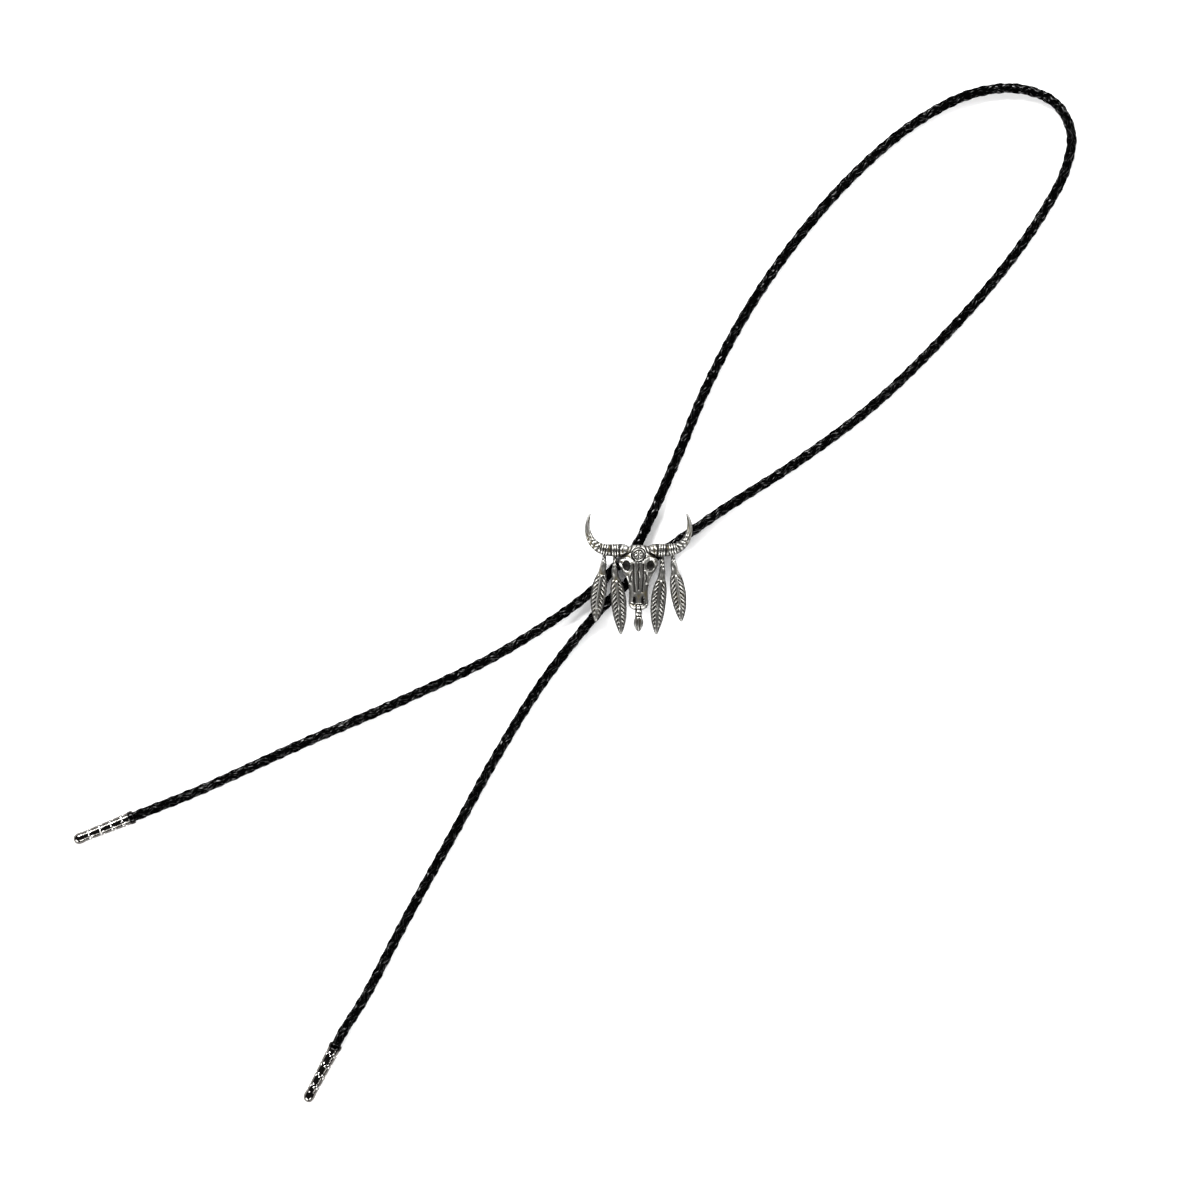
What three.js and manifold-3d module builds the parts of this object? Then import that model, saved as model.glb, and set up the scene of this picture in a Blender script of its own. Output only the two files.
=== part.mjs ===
// A bolo tie laid out flat. A braided leather cord runs from one metal tip, through a clip behind a
// cast slide ornament, round the neck loop and back through the clip to the other tip.
// Lengths are in millimetres and +Z is up. The origin is on the surface under the middle of the clip,
// +Y points along the tie to the neck loop, and +X lies to the right of it, seen from above.
import * as THREE from "three";
import { mergeVertices } from "three/addons/utils/BufferGeometryUtils.js";
import Module from "manifold-3d";

const wasm = await Module();
wasm.setup();

// Cord
const cordDiameter = 4.0;
const cordLift = 0.1; // keeps the lying cord clear of the surface
const neckDepth = 10; // how far the cord's thinned end goes into a tip
const cordSides = 10;
const stepsPerPoint = 2;

// Fit of the pieces on one another
const fitGap = 0.3;

// Clip, a flattened sleeve that both strands slide through
const clipWall = 0.8;
const clipLength = 7;
const clipLead = 2; // straight cord beyond each end of the clip

// Rivet that holds the ornament on the clip
const rivetDiameter = 1.8;
const rivetHeadDiameter = 2.8;
const rivetHeadHeight = 0.8;

// Tips, stamped metal cups over the cord's ends
const tipLength = 24.0;
const tipMouthDiameter = 4.6;
const tipWall = 0.35;
const tipLipRise = 0.2;
const tipLipLength = 2.0;
const tipSocketDepth = 13;
const tipBandCount = 4;
const tipBandPitch = 4.4;
const tipFirstBand = 4.1;
const tipBandWidth = 1.5;
const tipBandRise = 0.15;

// Ornament, one casting with a flat back
const ornamentWidth = 41;
const ornamentHeight = 45.5;
const ornamentRelief = 5;
const ornamentOffset = { x: 4.0, y: -0.8 }; // its middle, from the middle of the clip
const ornamentTurn = 45; // degrees from the line of the tie, so that it hangs upright when worn aslant
const seatDiameter = 8;
const seatThickness = 1.4;
const concho = { diameter: 4.6, rise: 0.7, height: 0.3 }; // height is a share of half the ornament
const ribFacets = 8;
const sideShare = 0.45; // height of a rib's upright side, as a share of its crown
const stepsPerRow = 2;

// Sizes that follow
const strandSpacing = cordDiameter + rivetHeadDiameter + 2 * fitGap;
const channelHeight = cordDiameter + 2 * fitGap;
const clipHeight = channelHeight + 2 * clipWall;
const strandHeight = clipHeight / 2;
const restHeight = cordDiameter / 2 + cordLift;
const backHeight = clipHeight + fitGap;
const tipLipRadius = tipMouthDiameter / 2 + tipLipRise;

// The cord's route seen from above. rise is the share of the way from the surface up to the clip.
const leftTail = [
  { x: -64.3, y: -196.2, rise: 0 },
  { x: -62.5, y: -192.0, rise: 0 },
  { x: -53.9, y: -171.9, rise: 0 },
  { x: -39.7, y: -134.0, rise: 0 },
  { x: -24.1, y: -94.5, rise: 0 },
  { x: -11.1, y: -56.9, rise: 0 },
  { x: -3.7, y: -20.0, rise: 0.25 },
];
const neckLoop = [
  { x: -6.7, y: 15.0, rise: 0.4 },
  { x: -15.7, y: 38.3, rise: 0 },
  { x: -27.5, y: 67.4, rise: 0 },
  { x: -36.7, y: 98.5, rise: 0 },
  { x: -42.1, y: 129.5, rise: 0 },
  { x: -43.9, y: 160.5, rise: 0 },
  { x: -41.5, y: 189.0, rise: 0 },
  { x: -34.3, y: 211.6, rise: 0 },
  { x: -23.2, y: 225.4, rise: 0 },
  { x: -9.8, y: 231.1, rise: 0 },
  { x: 1.9, y: 227.5, rise: 0 },
  { x: 10.1, y: 216.3, rise: 0 },
  { x: 15.4, y: 199.5, rise: 0 },
  { x: 19.9, y: 174.0, rise: 0 },
  { x: 22.0, y: 141.0, rise: 0 },
  { x: 21.4, y: 104.5, rise: 0 },
  { x: 16.4, y: 69.9, rise: 0 },
  { x: 9.4, y: 37.7, rise: 0 },
  { x: 5.4, y: 15.0, rise: 0.4 },
];
const lowTail = [
  { x: 3.5, y: -20.0, rise: 0.25 },
  { x: 7.2, y: -53.1, rise: 0 },
  { x: 14.6, y: -85.5, rise: 0 },
  { x: 23.5, y: -116.5, rise: 0 },
  { x: 33.5, y: -151.5, rise: 0 },
  { x: 43.4, y: -183.7, rise: 0 },
  { x: 46.6, y: -198.0, rise: 0 },
  { x: 48.1, y: -202.8, rise: 0 },
];

// The ornament's ribs. x and halfWidth are shares of half its width, y is a share of half its height
// and crown a share of its relief.
const skullRows = [
  { x: 0, y: 0.47, halfWidth: 0.12, crown: 0.5 },
  { x: 0, y: 0.4, halfWidth: 0.25, crown: 0.78 },
  { x: 0, y: 0.29, halfWidth: 0.3, crown: 0.92 },
  { x: 0, y: 0.17, halfWidth: 0.36, crown: 1 },
  { x: 0, y: 0.06, halfWidth: 0.33, crown: 0.95 },
  { x: 0, y: -0.05, halfWidth: 0.22, crown: 0.86 },
  { x: 0, y: -0.2, halfWidth: 0.175, crown: 0.76 },
  { x: 0, y: -0.36, halfWidth: 0.165, crown: 0.68 },
  { x: 0, y: -0.48, halfWidth: 0.19, crown: 0.62 },
  { x: 0, y: -0.56, halfWidth: 0.16, crown: 0.5 },
  { x: 0, y: -0.6, halfWidth: 0.08, crown: 0.34 },
];
const hornRows = [
  { x: 0.16, y: 0.36, halfWidth: 0.115, crown: 0.8 },
  { x: 0.34, y: 0.38, halfWidth: 0.12, crown: 0.82 },
  { x: 0.53, y: 0.37, halfWidth: 0.112, crown: 0.76 },
  { x: 0.71, y: 0.4, halfWidth: 0.098, crown: 0.68 },
  { x: 0.85, y: 0.51, halfWidth: 0.08, crown: 0.58 },
  { x: 0.925, y: 0.67, halfWidth: 0.06, crown: 0.46 },
  { x: 0.92, y: 0.85, halfWidth: 0.04, crown: 0.34 },
  { x: 0.86, y: 0.99, halfWidth: 0.015, crown: 0.24 },
];
const outerFeatherRows = [
  { x: 0.61, y: 0.37, halfWidth: 0.035, crown: 0.6 },
  { x: 0.62, y: 0.2, halfWidth: 0.035, crown: 0.42 },
  { x: 0.635, y: 0.12, halfWidth: 0.07, crown: 0.54 },
  { x: 0.65, y: 0.04, halfWidth: 0.05, crown: 0.4 },
  { x: 0.67, y: -0.06, halfWidth: 0.11, crown: 0.44 },
  { x: 0.7, y: -0.22, halfWidth: 0.14, crown: 0.42 },
  { x: 0.73, y: -0.4, halfWidth: 0.14, crown: 0.4 },
  { x: 0.75, y: -0.56, halfWidth: 0.115, crown: 0.36 },
  { x: 0.765, y: -0.7, halfWidth: 0.065, crown: 0.3 },
  { x: 0.77, y: -0.79, halfWidth: 0.015, crown: 0.22 },
];
const innerFeatherRows = [
  { x: 0.42, y: 0.37, halfWidth: 0.035, crown: 0.6 },
  { x: 0.43, y: 0.1, halfWidth: 0.035, crown: 0.42 },
  { x: 0.425, y: 0.02, halfWidth: 0.07, crown: 0.54 },
  { x: 0.415, y: -0.06, halfWidth: 0.05, crown: 0.4 },
  { x: 0.4, y: -0.15, halfWidth: 0.11, crown: 0.44 },
  { x: 0.37, y: -0.34, halfWidth: 0.14, crown: 0.42 },
  { x: 0.345, y: -0.56, halfWidth: 0.14, crown: 0.4 },
  { x: 0.33, y: -0.76, halfWidth: 0.11, crown: 0.36 },
  { x: 0.32, y: -0.9, halfWidth: 0.06, crown: 0.3 },
  { x: 0.32, y: -1, halfWidth: 0.015, crown: 0.22 },
];
const dropRows = [
  { x: 0, y: -0.57, halfWidth: 0.05, crown: 0.36 },
  { x: 0, y: -0.64, halfWidth: 0.075, crown: 0.5 },
  { x: 0, y: -0.7, halfWidth: 0.045, crown: 0.34 },
  { x: 0, y: -0.77, halfWidth: 0.095, crown: 0.4 },
  { x: 0, y: -0.86, halfWidth: 0.08, crown: 0.36 },
  { x: 0, y: -0.95, halfWidth: 0.02, crown: 0.24 },
];
const quill = { halfWidth: 0.02, proud: 0.08 }; // a feather's shaft, above the vane's crown

// Hollows cut into the skull, in the same shares. depth is a share of the relief.
const hollows = [
  { x: 0.225, y: 0.12, halfWidth: 0.085, halfHeight: 0.09, depth: 0.5 },
  { x: 0.075, y: -0.44, halfWidth: 0.03, halfHeight: 0.07, depth: 0.3 },
];

// A tip's outside: at is a share of its length, radius a share of its mouth radius. The body tapers
// evenly from the mouth to the neck, and the bulb ends the tip.
const tipMouth = { at: 0, radius: 1 };
const tipNeck = { at: 0.83, radius: 0.8 };
const tipBulbRows = [
  { at: 0.855, radius: 0.86 },
  { at: 0.905, radius: 0.9 },
  { at: 0.95, radius: 0.82 },
  { at: 0.985, radius: 0.54 },
  { at: 0.997, radius: 0.26 },
];

const blackLeather = new THREE.MeshStandardMaterial({ color: 0x17130f, roughness: 0.5, metalness: 0 });
const brightMetal = new THREE.MeshStandardMaterial({ color: 0xc6c8ca, roughness: 0.15, metalness: 1 });
const agedPewter = new THREE.MeshStandardMaterial({ color: 0x8f8b82, roughness: 0.38, metalness: 1 });
const plainSteel = new THREE.MeshStandardMaterial({ color: 0xa9abad, roughness: 0.4, metalness: 1 });

// A closed geometry as a solid that can be joined and cut.
function solidFrom(geometry) {
  const bare = geometry.clone();
  bare.deleteAttribute("normal");
  bare.deleteAttribute("uv");
  const merged = mergeVertices(bare, 1e-4);
  const vertProperties = merged.attributes.position.array;
  const triVerts = new Uint32Array(merged.index.array);
  return new wasm.Manifold(new wasm.Mesh({ numProp: 3, vertProperties, triVerts }));
}

// The solid's triangles as a geometry again.
function geometryFrom(solid) {
  const mesh = solid.getMesh();
  const geometry = new THREE.BufferGeometry();
  geometry.setAttribute("position", new THREE.BufferAttribute(mesh.vertProperties, 3));
  geometry.setIndex(new THREE.BufferAttribute(mesh.triVerts, 1));
  geometry.computeVertexNormals();
  return geometry;
}

// A point of the route in space.
function routePoint({ x, y, rise }) {
  return new THREE.Vector3(x, y, restHeight + rise * (strandHeight - restHeight));
}

// One strand's straight way through the clip, at the given side, from startY to endY.
function channelPoints(side, startY, endY) {
  const heights = [startY, (startY + endY) / 2, endY];
  return heights.map((y) => new THREE.Vector3((side * strandSpacing) / 2, y, strandHeight));
}

// A smooth curve whose even steps fall on its chosen points, so that a tube has a ring at each of them.
class PointwiseCurve extends THREE.CatmullRomCurve3 {
  getPointAt(share, target) {
    return this.getPoint(share, target);
  }
  getTangentAt(share, target) {
    return this.getTangent(share, target);
  }
}

const leadY = clipLength / 2 + clipLead;
const routePoints = [
  ...leftTail.map(routePoint),
  ...channelPoints(-1, -leadY, leadY),
  ...neckLoop.map(routePoint),
  ...channelPoints(1, leadY, -leadY),
  ...lowTail.map(routePoint),
];

// A tip's mouth point and its heading away from the cord. It lies on the surface on its lip and its bulb.
function tipSeat(mouth, before) {
  const bulb = tipBulbRows.reduce((widest, row) => (row.radius > widest.radius ? row : widest));
  const drop = tipLipRadius - (bulb.radius * tipMouthDiameter) / 2;
  const reach = bulb.at * tipLength - tipLipLength / 2;
  const heading = new THREE.Vector3().subVectors(mouth, before).setZ(0).normalize();
  heading.setZ(-drop / reach).normalize();
  return { position: new THREE.Vector3(mouth.x, mouth.y, tipLipRadius), heading };
}

const leftSeat = tipSeat(routePoints[0], routePoints[1]);
const lowSeat = tipSeat(routePoints.at(-1), routePoints.at(-2));

// A plain round bar from one point along a heading, which may taper to another radius at its end.
function roundBar(radius, length, start, heading, sides = 16, endRadius = radius) {
  const geometry = new THREE.CylinderGeometry(endRadius, radius, length, sides);
  geometry.translate(0, length / 2, 0);
  const turn = new THREE.Quaternion().setFromUnitVectors(new THREE.Vector3(0, 1, 0), heading);
  geometry.applyQuaternion(turn);
  geometry.translate(start.x, start.y, start.z);
  return solidFrom(geometry);
}

// The radius of a tip's tapering body at a distance from its mouth.
function tipBodyRadius(distance) {
  const share = distance / tipLength / tipNeck.at;
  return (tipMouthDiameter / 2) * (tipMouth.radius + share * (tipNeck.radius - tipMouth.radius));
}

// The braided cord as one tube, with a thinned neck at each end that goes into a tip.
function cordGeometry() {
  const points = routePoints.map((point) => point.clone());
  const neckRadius = (distance) => tipBodyRadius(distance) - tipWall - fitGap;
  for (const [index, seat] of [[0, leftSeat], [points.length - 1, lowSeat]]) {
    points[index].copy(seat.position).addScaledVector(seat.heading, -fitGap);
  }
  const section = new THREE.Shape();
  section.absarc(0, 0, cordDiameter / 2, 0, 2 * Math.PI);
  const tube = new THREE.ExtrudeGeometry(section, {
    extrudePath: new PointwiseCurve(points),
    steps: stepsPerPoint * (points.length - 1),
    curveSegments: cordSides / 2,
  });
  let solid = solidFrom(tube);
  for (const { position, heading } of [leftSeat, lowSeat]) {
    const root = cordDiameter / 2;
    const start = position.clone().addScaledVector(heading, -root);
    const ends = [neckRadius(-root), neckRadius(neckDepth)];
    solid = solid.add(roundBar(ends[0], root + neckDepth, start, heading, cordSides, ends[1]));
  }
  return geometryFrom(solid);
}

// A tip as a cup turned about its length, with a rolled lip, raised bands and a bulb at its end.
function tipGeometry() {
  const mouthRadius = tipMouthDiameter / 2;
  const socketRadius = (distance) => tipBodyRadius(distance) - tipWall;
  const profile = [
    new THREE.Vector2(0, tipSocketDepth),
    new THREE.Vector2(socketRadius(tipSocketDepth), tipSocketDepth),
    new THREE.Vector2(socketRadius(0), 0),
    new THREE.Vector2((socketRadius(0) + tipLipRadius) / 2, 0),
    new THREE.Vector2(tipLipRadius, tipLipLength * 0.3),
    new THREE.Vector2(tipLipRadius, tipLipLength * 0.7),
    new THREE.Vector2(tipBodyRadius(tipLipLength), tipLipLength),
  ];
  for (let band = 0; band < tipBandCount; band += 1) {
    const middle = tipFirstBand + band * tipBandPitch;
    for (const [side, rise] of [[-0.5, 0], [-0.35, 1], [0.35, 1], [0.5, 0]]) {
      const distance = middle + side * tipBandWidth;
      profile.push(new THREE.Vector2(tipBodyRadius(distance) + rise * tipBandRise, distance));
    }
  }
  for (const { at, radius } of [tipNeck, ...tipBulbRows]) {
    profile.push(new THREE.Vector2(radius * mouthRadius, at * tipLength));
  }
  profile.push(new THREE.Vector2(0, tipLength));
  return new THREE.LatheGeometry(profile, 16);
}

// The clip as an extruded ring with round ends, and a hole for the rivet in its upper wall.
function clipGeometry() {
  const halfStraight = strandSpacing / 2;
  const addRing = (path, radius) => {
    path.moveTo(-halfStraight, -radius);
    path.lineTo(halfStraight, -radius);
    path.absarc(halfStraight, 0, radius, -Math.PI / 2, Math.PI / 2);
    path.lineTo(-halfStraight, radius);
    path.absarc(-halfStraight, 0, radius, Math.PI / 2, (3 * Math.PI) / 2);
    return path;
  };
  const outline = addRing(new THREE.Shape(), clipHeight / 2);
  outline.holes.push(addRing(new THREE.Path(), channelHeight / 2));
  const sleeve = new THREE.ExtrudeGeometry(outline, {
    depth: clipLength,
    bevelEnabled: false,
    curveSegments: 8,
  });
  sleeve.translate(0, 0, -clipLength / 2);
  sleeve.rotateX(Math.PI / 2);
  sleeve.translate(0, 0, strandHeight);
  const holeStart = new THREE.Vector3(0, 0, strandHeight);
  const up = new THREE.Vector3(0, 0, 1);
  const hole = roundBar(rivetDiameter / 2 + fitGap, clipHeight, holeStart, up);
  return geometryFrom(solidFrom(sleeve).subtract(hole));
}

// Rows of a rib with more sections between them, on smooth curves through the rows.
function smoothRows(rows) {
  const halfWidth = ornamentWidth / 2;
  const halfHeight = ornamentHeight / 2;
  const spine = new THREE.CatmullRomCurve3(
    rows.map((row) => new THREE.Vector3(row.x * halfWidth, row.y * halfHeight, 0)),
    false,
    "catmullrom",
  );
  const size = new THREE.CatmullRomCurve3(
    rows.map((row) => new THREE.Vector3(row.halfWidth * halfWidth, row.crown * ornamentRelief, 0)),
    false,
    "catmullrom",
  );
  const count = stepsPerRow * (rows.length - 1);
  return Array.from({ length: count + 1 }, (_, index) => {
    const share = index / count;
    const centre = spine.getPoint(share);
    const extent = size.getPoint(share);
    return { centre, tangent: spine.getTangent(share), halfWidth: extent.x, crown: extent.y };
  });
}

// A cast rib with a flat back on z = 0 and a crowned front, lofted through its rows.
function castRib(rows) {
  const rings = smoothRows(rows).map(({ centre, tangent, halfWidth, crown }) => {
    const across = new THREE.Vector3(-tangent.y, tangent.x, 0);
    const side = sideShare * crown;
    const ring = [centre.clone().addScaledVector(across, halfWidth)];
    for (let facet = 0; facet <= ribFacets; facet += 1) {
      const angle = (Math.PI * facet) / ribFacets;
      const point = centre.clone().addScaledVector(across, halfWidth * Math.cos(angle));
      ring.push(point.setZ(side + (crown - side) * Math.sin(angle)));
    }
    ring.push(centre.clone().addScaledVector(across, -halfWidth));
    return ring;
  });
  const around = rings[0].length;
  const index = [];
  for (let row = 0; row + 1 < rings.length; row += 1) {
    for (let corner = 0; corner < around; corner += 1) {
      const next = (corner + 1) % around;
      const near = row * around;
      const far = near + around;
      index.push(near + corner, near + next, far + corner);
      index.push(near + next, far + next, far + corner);
    }
  }
  const last = (rings.length - 1) * around;
  for (let corner = 1; corner + 1 < around; corner += 1) {
    index.push(0, corner + 1, corner);
    index.push(last, last + corner, last + corner + 1);
  }
  const positions = rings.flat().flatMap((point) => point.toArray());
  const geometry = new THREE.BufferGeometry();
  geometry.setAttribute("position", new THREE.Float32BufferAttribute(positions, 3));
  geometry.setIndex(index);
  return solidFrom(geometry);
}

// The same rows on the other side of the ornament's middle line.
function mirrored(rows) {
  return rows.map((row) => ({ ...row, x: -row.x }));
}

// The rows of the shaft that runs down a feather's vane, between two of the feather's rows.
function quillRows(rows, first, last) {
  return rows.slice(first, last + 1).map(({ x, y, crown }) => {
    return { x, y, halfWidth: quill.halfWidth, crown: crown + quill.proud };
  });
}

// An egg-shaped hollow that opens to the front at the skull's crown.
function hollowCutter({ x, y, halfWidth, halfHeight, depth }, crown) {
  const ball = new THREE.SphereGeometry(1, 12, 8);
  ball.scale((halfWidth * ornamentWidth) / 2, (halfHeight * ornamentHeight) / 2, depth * ornamentRelief);
  ball.translate((x * ornamentWidth) / 2, (y * ornamentHeight) / 2, crown);
  return solidFrom(ball);
}

// The casting in its own frame: x to the right, y up as it is worn, and its flat back on z = 0.
function ornamentSolid() {
  const sided = [hornRows, outerFeatherRows, innerFeatherRows];
  const featherQuills = [quillRows(outerFeatherRows, 3, 8), quillRows(innerFeatherRows, 3, 8)];
  const ribs = [skullRows, dropRows, ...sided, ...featherQuills];
  ribs.push(...[...sided, ...featherQuills].map(mirrored));
  let solid = ribs.map(castRib).reduce((whole, rib) => whole.add(rib));
  for (const hollow of [...hollows, ...mirrored(hollows)]) {
    const row = skullRows.find(({ y }) => y <= hollow.y);
    solid = solid.subtract(hollowCutter(hollow, row.crown * ornamentRelief));
  }
  const boss = new THREE.SphereGeometry(concho.diameter / 2, 16, 8);
  const bossLevel = 0.92 * ornamentRelief;
  boss.scale(1, 1, (2 * concho.rise) / concho.diameter);
  boss.translate(0, (concho.height * ornamentHeight) / 2, bossLevel);
  return solid.add(solidFrom(boss));
}

// The ornament turned to its place, with the seat on its back and the rivet that goes into the clip.
function ornamentGeometry() {
  const place = new THREE.Matrix4().makeRotationZ(THREE.MathUtils.degToRad(ornamentTurn));
  place.setPosition(ornamentOffset.x, ornamentOffset.y, backHeight);
  const down = new THREE.Vector3(0, 0, -1);
  const casting = solidFrom(geometryFrom(ornamentSolid()).applyMatrix4(place));
  const seatTop = new THREE.Vector3(0, 0, backHeight + seatThickness);
  const seat = roundBar(seatDiameter / 2, seatThickness, seatTop, down, 24);
  const headTop = clipHeight - clipWall - fitGap;
  const shank = roundBar(rivetDiameter / 2, seatTop.z - headTop + rivetHeadHeight / 2, seatTop, down);
  const headStart = new THREE.Vector3(0, 0, headTop);
  const head = roundBar(rivetHeadDiameter / 2, rivetHeadHeight, headStart, down);
  return geometryFrom(casting.add(seat).add(shank).add(head));
}

// A tip's mesh at its seat.
function tipMesh(name, { position, heading }) {
  const mesh = namedMesh(name, tipGeometry(), brightMetal);
  mesh.position.copy(position);
  mesh.quaternion.setFromUnitVectors(new THREE.Vector3(0, 1, 0), heading);
  return mesh;
}

function namedMesh(name, geometry, material) {
  const mesh = new THREE.Mesh(geometry, material);
  mesh.name = name;
  return mesh;
}

const boloTie = new THREE.Group();
boloTie.add(namedMesh("braided_cord", cordGeometry(), blackLeather));
boloTie.add(namedMesh("cord_clip", clipGeometry(), plainSteel));
boloTie.add(namedMesh("slide_ornament", ornamentGeometry(), agedPewter));
boloTie.add(tipMesh("cord_tip_left", leftSeat));
boloTie.add(tipMesh("cord_tip_right", lowSeat));

export default boloTie;
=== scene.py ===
# %% [markdown]
# # A bolo tie laid out on a pale table
# A bolo tie is a braided leather cord with a metal tip on each end. Both strands of the cord slide
# through a clip, and a cast ornament is riveted on top of the clip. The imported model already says
# where everything is and how big it is. This lesson gives each part its real surface.

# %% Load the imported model
import math

import bmesh
import bpy
import numpy as np
from mathutils import Matrix, Quaternion, Vector


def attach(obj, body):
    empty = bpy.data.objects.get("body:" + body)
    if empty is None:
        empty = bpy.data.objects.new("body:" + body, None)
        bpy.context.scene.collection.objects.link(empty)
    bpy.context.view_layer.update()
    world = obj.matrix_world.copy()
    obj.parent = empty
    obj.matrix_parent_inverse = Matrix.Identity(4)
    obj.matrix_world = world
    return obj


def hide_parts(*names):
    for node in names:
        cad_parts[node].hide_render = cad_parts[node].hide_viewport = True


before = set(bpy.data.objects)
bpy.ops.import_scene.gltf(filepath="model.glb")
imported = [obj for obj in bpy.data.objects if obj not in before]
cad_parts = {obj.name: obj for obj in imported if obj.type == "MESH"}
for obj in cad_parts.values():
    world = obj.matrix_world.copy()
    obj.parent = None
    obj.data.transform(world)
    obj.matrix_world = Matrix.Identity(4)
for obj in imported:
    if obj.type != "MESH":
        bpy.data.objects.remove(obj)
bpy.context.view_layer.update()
bpy.ops.object.select_all(action="DESELECT")
MM = 0.001
print("Packed nodes:", ", ".join(sorted(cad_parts)))

# %% [markdown]
# ## Camera
# The tie was photographed from straight above, aslant in the picture: the line from the tips to
# the neck loop runs from the lower left to the upper right. Turning the camera by 45 degrees gives
# that slant. A long lens from far away keeps both ends of the tie at one scale, as a catalogue
# photograph does.

# %% Place the camera
VIEW_WIDTH = 444.0  # millimetres of table that the picture takes in
VIEW_MIDDLE = (0.9, -17.8)
VIEW_TURN = math.radians(45)
CAMERA_HEIGHT = 2400.0
SENSOR_WIDTH = 36.0
FARTHEST_SEEN = 50.0  # metres

bpy.ops.object.camera_add(
    location=Vector((*VIEW_MIDDLE, CAMERA_HEIGHT)) * MM,
    rotation=(0, 0, VIEW_TURN),
)
camera = bpy.context.object
camera.data.sensor_width = SENSOR_WIDTH
camera.data.lens = SENSOR_WIDTH * CAMERA_HEIGHT / VIEW_WIDTH
camera.data.clip_end = FARTHEST_SEEN
bpy.context.scene.camera = camera
print(f"Lens of {camera.data.lens:.0f} mm")

# %% [markdown]
# ## The cord's route
# The cord lies in one long loop. Each point below is a place on the photographed cord, in
# millimetres, with how far it has risen from the table towards the clip's channel. The strands
# lie on the table everywhere but beside the clip. The points repeat the route of the part's own
# construction, so that the braid lies exactly where the model's plain tube is.

# %% List the route
REST_HEIGHT = 2.1
CHANNEL_HEIGHT = 3.1
STRAND_SIDE = 3.7
CLIP_LEAD = 5.5
left_tail = [
    (-64.3, -196.2, 0), (-62.5, -192.0, 0), (-53.9, -171.9, 0), (-39.7, -134.0, 0),
    (-24.1, -94.5, 0), (-11.1, -56.9, 0), (-3.7, -20.0, 0.25),
]
neck_loop = [
    (-6.7, 15.0, 0.4), (-15.7, 38.3, 0), (-27.5, 67.4, 0), (-36.7, 98.5, 0), (-42.1, 129.5, 0),
    (-43.9, 160.5, 0), (-41.5, 189.0, 0), (-34.3, 211.6, 0), (-23.2, 225.4, 0),
    (-9.8, 231.1, 0), (1.9, 227.5, 0), (10.1, 216.3, 0), (15.4, 199.5, 0), (19.9, 174.0, 0),
    (22.0, 141.0, 0), (21.4, 104.5, 0), (16.4, 69.9, 0), (9.4, 37.7, 0), (5.4, 15.0, 0.4),
]
low_tail = [
    (3.5, -20.0, 0.25), (7.2, -53.1, 0), (14.6, -85.5, 0), (23.5, -116.5, 0), (33.5, -151.5, 0),
    (43.4, -183.7, 0), (46.6, -198.0, 0), (48.1, -202.8, 0),
]


def channel(side, start, end):
    """A strand's straight way through the clip, fully risen."""
    return [(side * STRAND_SIDE, y, 1) for y in (start, 0, end)]


route = [
    Vector((x, y, REST_HEIGHT + rise * (CHANNEL_HEIGHT - REST_HEIGHT)))
    for x, y, rise in (
        *left_tail,
        *channel(-1, -CLIP_LEAD, CLIP_LEAD),
        *neck_loop,
        *channel(1, CLIP_LEAD, -CLIP_LEAD),
        *low_tail,
    )
]
print(f"{len(route)} points on the route")

# %% [markdown]
# ## Where the tips sit
# A tip is a stamped metal cup, widest at its rolled lip. Lying on the table it touches with its
# lip and with the bulb at its far end, so it points a little downwards. The cord ends inside it.
# Working this out here lets the braid and the tips share one place and one heading.

# %% Seat the tips
TIP_LENGTH = 24.0
MOUTH_RADIUS = 2.3
LIP_RADIUS = 2.5
LIP_LENGTH = 2.0
TIP_WALL = 0.35
SOCKET_DEPTH = 13.0
NECK_AT = 0.83  # where the taper ends and the bulb starts, as a share of the length
NECK_SHARE = 0.8
BULB_AT = 0.905
BULB_SHARE = 0.9
NECK_DEPTH = 9.5  # how far the cord's thinned end goes into a tip
FIT_GAP = 0.3


def body_radius(distance):
    """The radius of a tip's tapering wall at a distance from its mouth."""
    return MOUTH_RADIUS * (1 + distance / TIP_LENGTH / NECK_AT * (NECK_SHARE - 1))


def tip_seat(mouth, before):
    """The middle of the mouth, and the heading away from the cord."""
    drop = LIP_RADIUS - BULB_SHARE * MOUTH_RADIUS
    reach = BULB_AT * TIP_LENGTH - LIP_LENGTH / 2
    heading = Vector((mouth.x - before.x, mouth.y - before.y, 0)).normalized()
    heading.z = -drop / reach
    return Vector((mouth.x, mouth.y, LIP_RADIUS)), heading.normalized()


left_seat = tip_seat(route[0], route[1])
low_seat = tip_seat(route[-1], route[-2])
route[0] = left_seat[0] - FIT_GAP * left_seat[1]
route[-1] = low_seat[0] - FIT_GAP * low_seat[1]
print(f"Tips point down by {math.degrees(math.asin(-left_seat[1].z)):.1f} degrees")

# %% [markdown]
# ## One smooth line for the cord
# A cord can't bend sharply, so the line has to pass through every point without a kink. A
# centripetal Catmull-Rom curve does that without overshooting where points lie unevenly, which a
# plain Bezier with automatic handles tends to do. The curve is then measured and cut into even
# steps, because the braid has to repeat evenly along it.

# %% Draw the centreline
STEP = 0.72
SAMPLES_PER_SPAN = 60


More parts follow.
